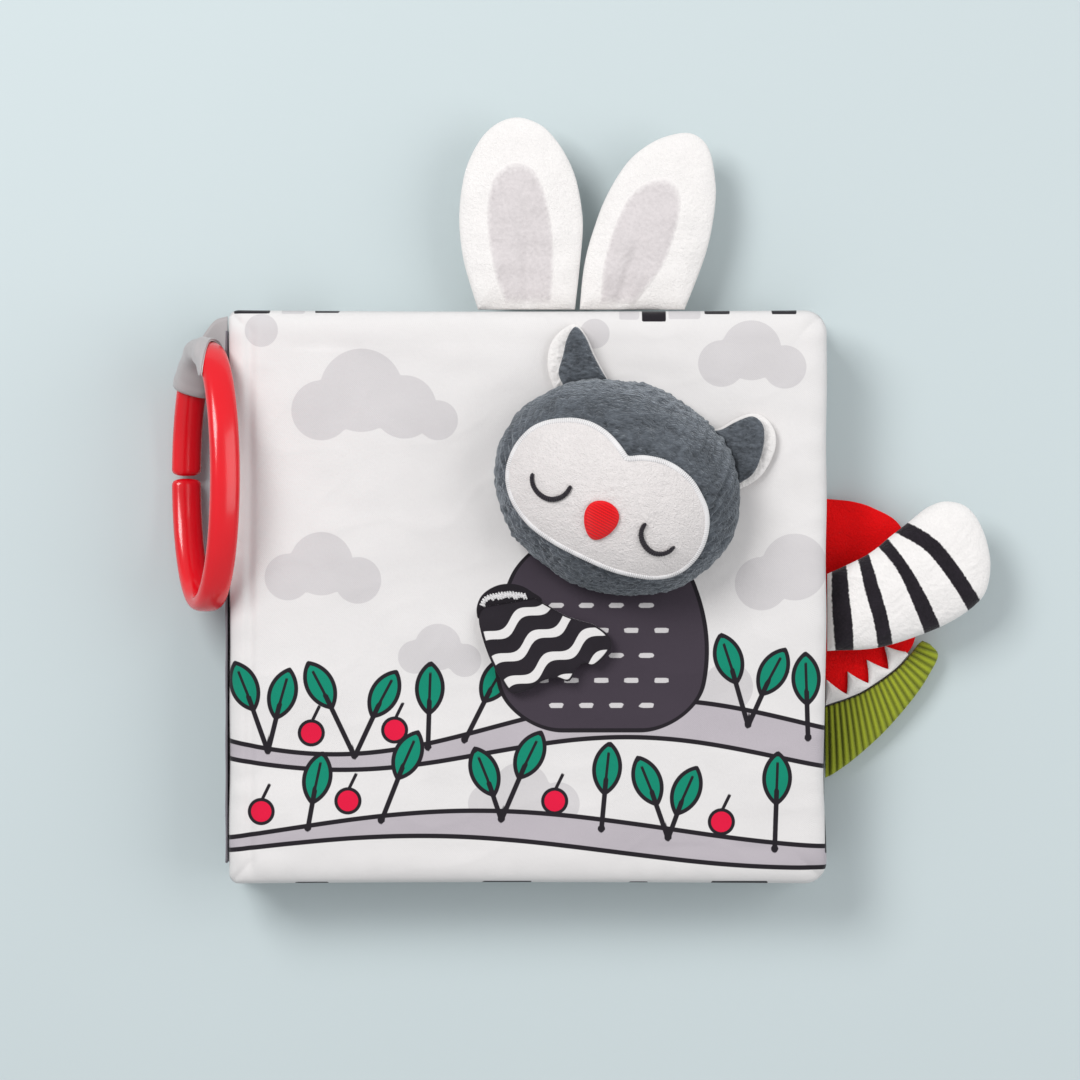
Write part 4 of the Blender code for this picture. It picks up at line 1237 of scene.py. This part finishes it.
def bandGap(x, y):
    # the distance to the nearest band, each between two smooth sides
    gap = np.full(x.shape, nowhere)
    for band in tail["bands"]:
        half = len(band) // 2
        sides = smoothPath(band[:half], 12), smoothPath(band[half:], 12)
        gap = np.minimum(gap, polygonGap(x, y, np.vstack(sides)))
    return gap


def tailPillow():
    # a full pillow
    def tufts(x, y, s, way):
        # fine noise and broader noise, none at the seam
        return way * (0.05 * waves(x, y, 15, 2.2) + 0.16 * waves(x, y, 16, 13)) * (1 - s ** 6)

    rings = pillow(seamOutline(tail["edge"], 240), tail["middle"], tail["level"], tail["half"],
                   tail["rings"][grade], *tail["swell"], tufts)
    obj = loftPiece("tail_cloth", rings, "tail", "tail",
                    data={"band": bandGap(rings[..., 0], rings[..., 1])}, slot="white_plush",
                    nodes=("tail_upper", "tail_lower"))


tailPillow()


# mouth: velour lining, corduroy jaw and felt teeth

mouth = {
    "middle": (103.0, -2.0), "level": 5.0, "half": 0.6,
    "edge": ((90.6, 29.7), (99.0, 28.8), (105.6, 26.7), (113.0, 22.0), (117.0, 12.0),
             (118.6, 0.0), (118.0, -12.6), (115.2, -18.0), (111.0, -22.2), (102.6, -28.0),
             (97.0, -30.6), (90.6, -32.6)),
}
# the jaw's outer edge has a share of its swell beside each point
jaw = {
    "half": 2.45, "rib": 0.36, "pitch": 2.1, "sides": 28, "stations": (110, 230),
    "outer": ((90.6, -55.4, 0.2), (93.4, -54.0, 0.75), (99.6, -49.5, 1.0), (108.6, -41.4, 1.0),
              (117.6, -31.0, 1.0), (122.6, -23.4, 0.9), (125.0, -18.0, 0.75),
              (122.6, -14.6, 0.3)),
    "inner": ((90.6, -33.8), (93.2, -32.9), (97.6, -31.4), (103.2, -28.8), (111.8, -22.8),
              (116.2, -18.2), (118.8, -14.8), (120.2, -13.6)),
}
teeth = {"count": 4, "points": 161, "turn": (112, 134), "foot": 0.55, "gum": 1.2, "tall": 6.2,
         "low": 5.95, "high": 7.3}


def mouthLining():
    # a thin pillow
    def wavy(x, y, s, way):
        # both its sides follow the same soft waves
        return 0.18 * waves(x, y, 18, 14)

    rings = pillow(seamOutline(mouth["edge"], 190), mouth["middle"], mouth["level"],
                   mouth["half"], 26, 9, 3, wavy)
    obj = loftPiece("mouth_lining_cloth", rings, "velour", "mouth", slot="velour",
                    nodes=("mouth_lining",))


def jawCrescent():
    # at each station a closed section from the outer edge to the inner one: across by a cosine,
    # up by a sine to the power 0.7, and higher over each rib of the corduroy
    count, sides = jaw["stations"][grade], jaw["sides"]
    outer, inner = smoothPath(jaw["outer"], count), smoothPath(jaw["inner"], count)
    swell = outer[:, 2:]
    outer = outer[:, :2]
    rib = np.abs(np.cos(math.pi * gone((outer + inner) / 2) / jaw["pitch"])) ** 0.8
    turn = around(sides)
    across = (0.5 - 0.5 * np.cos(turn))[:, None]
    rise = np.sign(np.sin(turn)) * np.abs(np.sin(turn)) ** 0.7
    xy = outer[:, None] + (inner - outer)[:, None] * across
    z = mouth["level"] + swell * (jaw["half"] + jaw["rib"] * rib[:, None]) * rise
    obj = loftPiece("jaw_cloth", np.concatenate([xy, z[..., None]], -1), "corduroy", "mouth",
                    data={"rib": np.repeat(rib, sides)}, slot="corduroy",
                    nodes=("jaw_crescent",))


def feltTeeth():
    # a flat strip along the jaw's inner edge, whose reach is a saw of pointed teeth
    count = teeth["points"]
    lip = smoothPath(jaw["inner"][:6], count)
    slant = np.radians(np.linspace(*teeth["turn"], count))
    way = np.stack([np.cos(slant), np.sin(slant)], -1)
    saw = 1 - np.abs(2 * (np.linspace(0, teeth["count"], count) % 1.0) - 1)
    foot = lip + teeth["foot"] * way
    tip = foot + (teeth["gum"] + teeth["tall"] * saw ** 1.15)[:, None] * way
    foot[:, 0], tip[:, 0] = np.maximum(foot[:, 0], freeSeam), np.maximum(tip[:, 0], freeSeam)
    middle = (foot + tip) / 2
    low, high = teeth["low"], teeth["high"]
    section = ((foot, low), (middle, low), (tip, low + 0.05), (tip * 0.98 + foot * 0.02, 7.0),
               (middle, high + 0.05), (foot, high))
    rings = [np.column_stack([xy, np.full(count, z)]) for xy, z in section]
    loftPiece("teeth_felt", np.stack(rings, 1), "felt", "mouth", slot="felt",
              nodes=("tooth_strip",))


mouthLining()
jawCrescent()
feltTeeth()
print("tail and mouth made")


# link ring and its ribbon

ring = {"centre": (-97.0, 36.2, 26.4), "tilt": math.radians(71.2), "long": 37.9, "short": 22.3,
        "band": 2.75, "depth": 4.5, "split": 0.6, "box": 2.6, "line": 0.015, "sides": 28,
        "stations": (110, 240), "end": ((0.0, 0.25), (0.12, 0.55), (0.35, 0.78), (0.7, 0.91),
                                        (1.15, 0.98), (1.7, 1.0))}


def ringPoint(s, y, d):
    # s across the ring and d out of its plane, turned by its tilt about the y axis
    c, n = math.cos(ring["tilt"]), math.sin(ring["tilt"])
    return np.stack([ring["centre"][0] + s * c - d * n, np.broadcast_to(y, np.shape(s)),
                     ring["centre"][2] + s * n + d * c], axis=-1)


def squareRound(turn, power):
    # cosine and sine, pushed out from a circle towards a square
    c, n = np.cos(turn), np.sin(turn)
    out = (np.abs(c) ** power + np.abs(n) ** power) ** (-1 / power)
    return c * out, n * out


def linkRing():
    # rounded box sections round an ellipse, from one side of the split to the other, closing
    # at both ends; a fine moulding line runs round the middle of the bar
    length = math.pi * (ring["long"] + ring["short"])
    ends, share = np.array(ring["end"]).T
    first = ring["split"] / 2 + ends
    inner = np.linspace(3.2, length - 3.2, ring["stations"][grade])
    at = np.concatenate([first, inner, length - first[::-1]])
    size = np.concatenate([share, np.ones(len(inner)), share[::-1]])[:, None]
    turn = math.pi + fullTurn * at[:, None] / length
    s, y = ring["short"] * np.cos(turn), ring["centre"][1] + ring["long"] * np.sin(turn)
    out = np.stack([np.cos(turn) * ring["long"], np.sin(turn) * ring["short"]])
    out /= np.linalg.norm(out, axis=0)
    side = around(ring["sides"])
    c, n = squareRound(side, ring["box"])
    line = 1 + ring["line"] * (np.abs(np.sin(side)) < 0.12)
    off, deep = ring["band"] * c * line * size, ring["depth"] * n * size
    loftPiece("link_ring_plastic", ringPoint(s + off * out[0], y + off * out[1], deep), "ring",
              "link", slot="ring_plastic", nodes=("link_ring",))


linkRing()


# the ribbon's sleeve round the ring: the angles of its two slanted ends, in degrees
strap = {
    "low": 41.0, "slant": 5.5, "high": 100.0, "lean": 20.0, "bow": 8.0, "steps": 50,
    "sides": 72, "box": 2.4, "fold": 0.16, "hem": 0.16, "hemAt": 0.06, "flare": 0.25,
    # each layer, with its clearance and thickness
    "layers": (("strap_lining_tape", "ring_strap_lining", "ribbonBack", 0.3, 0.25),
               ("strap_loop_tape", "ring_strap_loop", "ribbon", 0.65, 0.45)),
}


def strapLayer(name, node, paint, clear, thick):
    # each point is the ring's own section, set out by the clearance, at an angle along the
    # ring; both ends of the sleeve are cut at a slant
    turn = around(strap["sides"])
    n = np.sin(turn)
    c1, n1 = squareRound(turn, strap["box"])
    share = np.linspace(0, 1, strap["steps"])
    low = np.radians(strap["low"] + strap["slant"] * (0.5 + 0.5 * n))[:, None]
    high = np.radians(strap["high"] + strap["lean"] * n + strap["bow"] * n ** 2)[:, None]
    angle = low + (high - low) * share
    slope = np.stack([-np.cos(angle) * ring["long"], np.sin(angle) * ring["short"]])
    slope /= np.linalg.norm(slope, axis=0)
    s, y = -ring["short"] * np.cos(angle), ring["centre"][1] + ring["long"] * np.sin(angle)

    def wall(out):
        # the ribbon is fuller at its hem and flares at its end, with slack folds between
        fold = strap["fold"] * waves(3.0 * n[:, None] + 9 * share, 26 * share, 3, 7, 77)
        hem = strap["hem"] * np.exp(-((share - strap["hemAt"]) / 0.035) ** 2) * (out > clear)
        off = out + fold + hem + strap["flare"] * (1 - share) ** 3
        across = (ring["band"] + off) * c1[:, None]
        deep = (ring["depth"] + off) * n1[:, None]
        return ringPoint(s + across * slope[0], y + across * slope[1], deep)

    rings = np.concatenate([wall(clear), wall(clear + thick)[:, ::-1]], axis=1)
    tape = loftPiece(name, rings, paint, None, loop=True, slot="ribbon", nodes=(node,))
    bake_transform(tape)


for row in strap["layers"]:
    strapLayer(*row)

# the ribbon from the spine to the sleeve: each station is one cross line, as its upper end and
# its lower end
strip = {
    "across": 9, "count": 60, "swell": 0.12,
    "tab": ((-91.65, 85.3, 5.6, -91.65, 74.5, 5.6), (-95.6, 83.9, 5.2, -93.4, 72.6, 5.0),
            (-99.3, 79.0, 5.7, -95.4, 69.4, 5.3), (-101.2, 75.2, 6.4, -96.4, 67.2, 5.8)),
    "neck": ((-98.3, 80.0, 5.6, -94.8, 70.6, 5.3), (-100.6, 76.2, 6.3, -97.2, 68.8, 5.5),
             (-102.3, 72.6, 8.1, -99.2, 66.3, 5.9), (-103.4, 67.8, 9.6, -101.0, 62.9, 5.7)),
    # three layers of the neck bend, one for each joint that moves the ring
    "necks": (("strap_neck_low_tape", "back_cover", "strap_fold_outer", -0.45),
              ("strap_neck_mid_tape", "strap_fold_outer", "strap_fold_inner", 0.0),
              ("strap_neck_top_tape", "strap_fold_inner", "link", 0.45)),
}


def flatStrip(name, stations, under, over, body, nodes=()):
    # cross lines along the stations, a little fuller in the middle of the ribbon's width
    share = np.linspace(0, 1, strip["across"])[:, None]
    line = smoothPath(stations, strip["count"])[:, None]
    middle = line[..., 3:] + (line[..., :3] - line[..., 3:]) * share
    low, high = middle.copy(), middle[:, ::-1].copy()
    low[..., 2] -= under
    high[..., 2] += over + strip["swell"] * np.sin(share[:, 0] * math.pi)
    return loftPiece(name, np.concatenate([low, high], 1), "ribbon", body, slot="ribbon",
                     nodes=nodes)


flatStrip("strap_tab_tape", strip["tab"], 0.75, 0.6, "back_cover", ("ring_strap_tab",))
for name, a, b, level in strip["necks"]:
    neck = flatStrip(name, strip["neck"], 0.2 - level, 0.08 + level, None)
    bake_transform(neck)
print("ring and strap made")


# CAD solids that stay, hidden inside the cloth

inside = {"front_cover_foam": "foam", "middle_leaf_foam": "foam", "back_cover_foam": "foam",
          "front_cover_crinkle_film": "film", "middle_leaf_crinkle_film": "film",
          "back_cover_crinkle_film": "film", "owl_head_stuffing": "stuffing",
          "tail_stuffing": "stuffing"}
for node, key in inside.items():
    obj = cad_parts[node]
    if not obj.material_slots:
        obj.data.materials.append(mat[key])
    for slot in obj.material_slots:
        slot.material = mat[key]


# floor, light and camera, in metres

studio = {
    "floor": {"half": 3, "z": -0.0004, "dark": (0.55, 0.62, 0.63), "light": (0.57, 0.64, 0.65)},
    "world": {"colour": (0.95, 0.97, 1.0, 1), "strength": 0.5},
    # each lamp: its place, its size and its power; all look at the target
    "lamps": {"key": ((-0.5, 0.5, 0.9), 0.5, 8.0), "fill": ((0.75, 0.1, 0.7), 0.8, 3.8)},
    "target": (0.0, 0.0, 0.02),
    "camera": {"at": (0.0036, 0.0171, 1.53), "sensor": 36, "height": 1.5, "width": 0.324},
}


def addObject(name, data, at=(0, 0, 0)):
    # a floor, lamp or camera at its place
    obj = bpy.data.objects.new(name, data)
    obj.location = at
    bpy.context.scene.collection.objects.link(obj)
    return obj


def makeStudio():
    # a square floor just under the book, an even world, two lamps that face the target, and the
    # camera straight above
    look = studio["floor"]
    half, z = look["half"], look["z"]
    floor = bpy.data.meshes.new("floor")
    floor.from_pydata([(-half, -half, z), (half, -half, z), (half, half, z), (-half, half, z)],
                      [], [(0, 1, 2, 3)])
    p = Paint("floor_paint", colours["floor"])
    p.wear({"Base Color": p.mix(look["dark"], look["light"], p.noise(300, 2))})
    floor.materials.append(p.mat)
    addObject("floor", floor)
    scene = bpy.context.scene
    scene.world = bpy.data.worlds.new("studio")
    scene.world.use_nodes = True
    back = scene.world.node_tree.nodes["Background"].inputs
    back[0].default_value = studio["world"]["colour"]
    back[1].default_value = studio["world"]["strength"]
    for name, (at, size, power) in studio["lamps"].items():
        lamp = bpy.data.lights.new(name, "AREA")
        lamp.size, lamp.energy = size, power
        x, y, z = np.array(studio["target"]) - at
        addObject(name, lamp, at).rotation_euler = (
            math.acos(-z / math.hypot(x, y, z)), 0, math.atan2(y, x) - math.pi / 2)
    look = studio["camera"]
    camera = bpy.data.cameras.new("photo_view")
    # at this height above the cover the frame is as wide as the photograph's
    camera.sensor_width = look["sensor"]
    camera.lens = look["sensor"] * look["height"] / look["width"]
    camera.clip_end = 20
    scene.camera = addObject("photo_view", camera, look["at"])
    scene.view_settings.view_transform = "Standard"


makeStudio()
bpy.context.view_layer.update()


print("scene made")
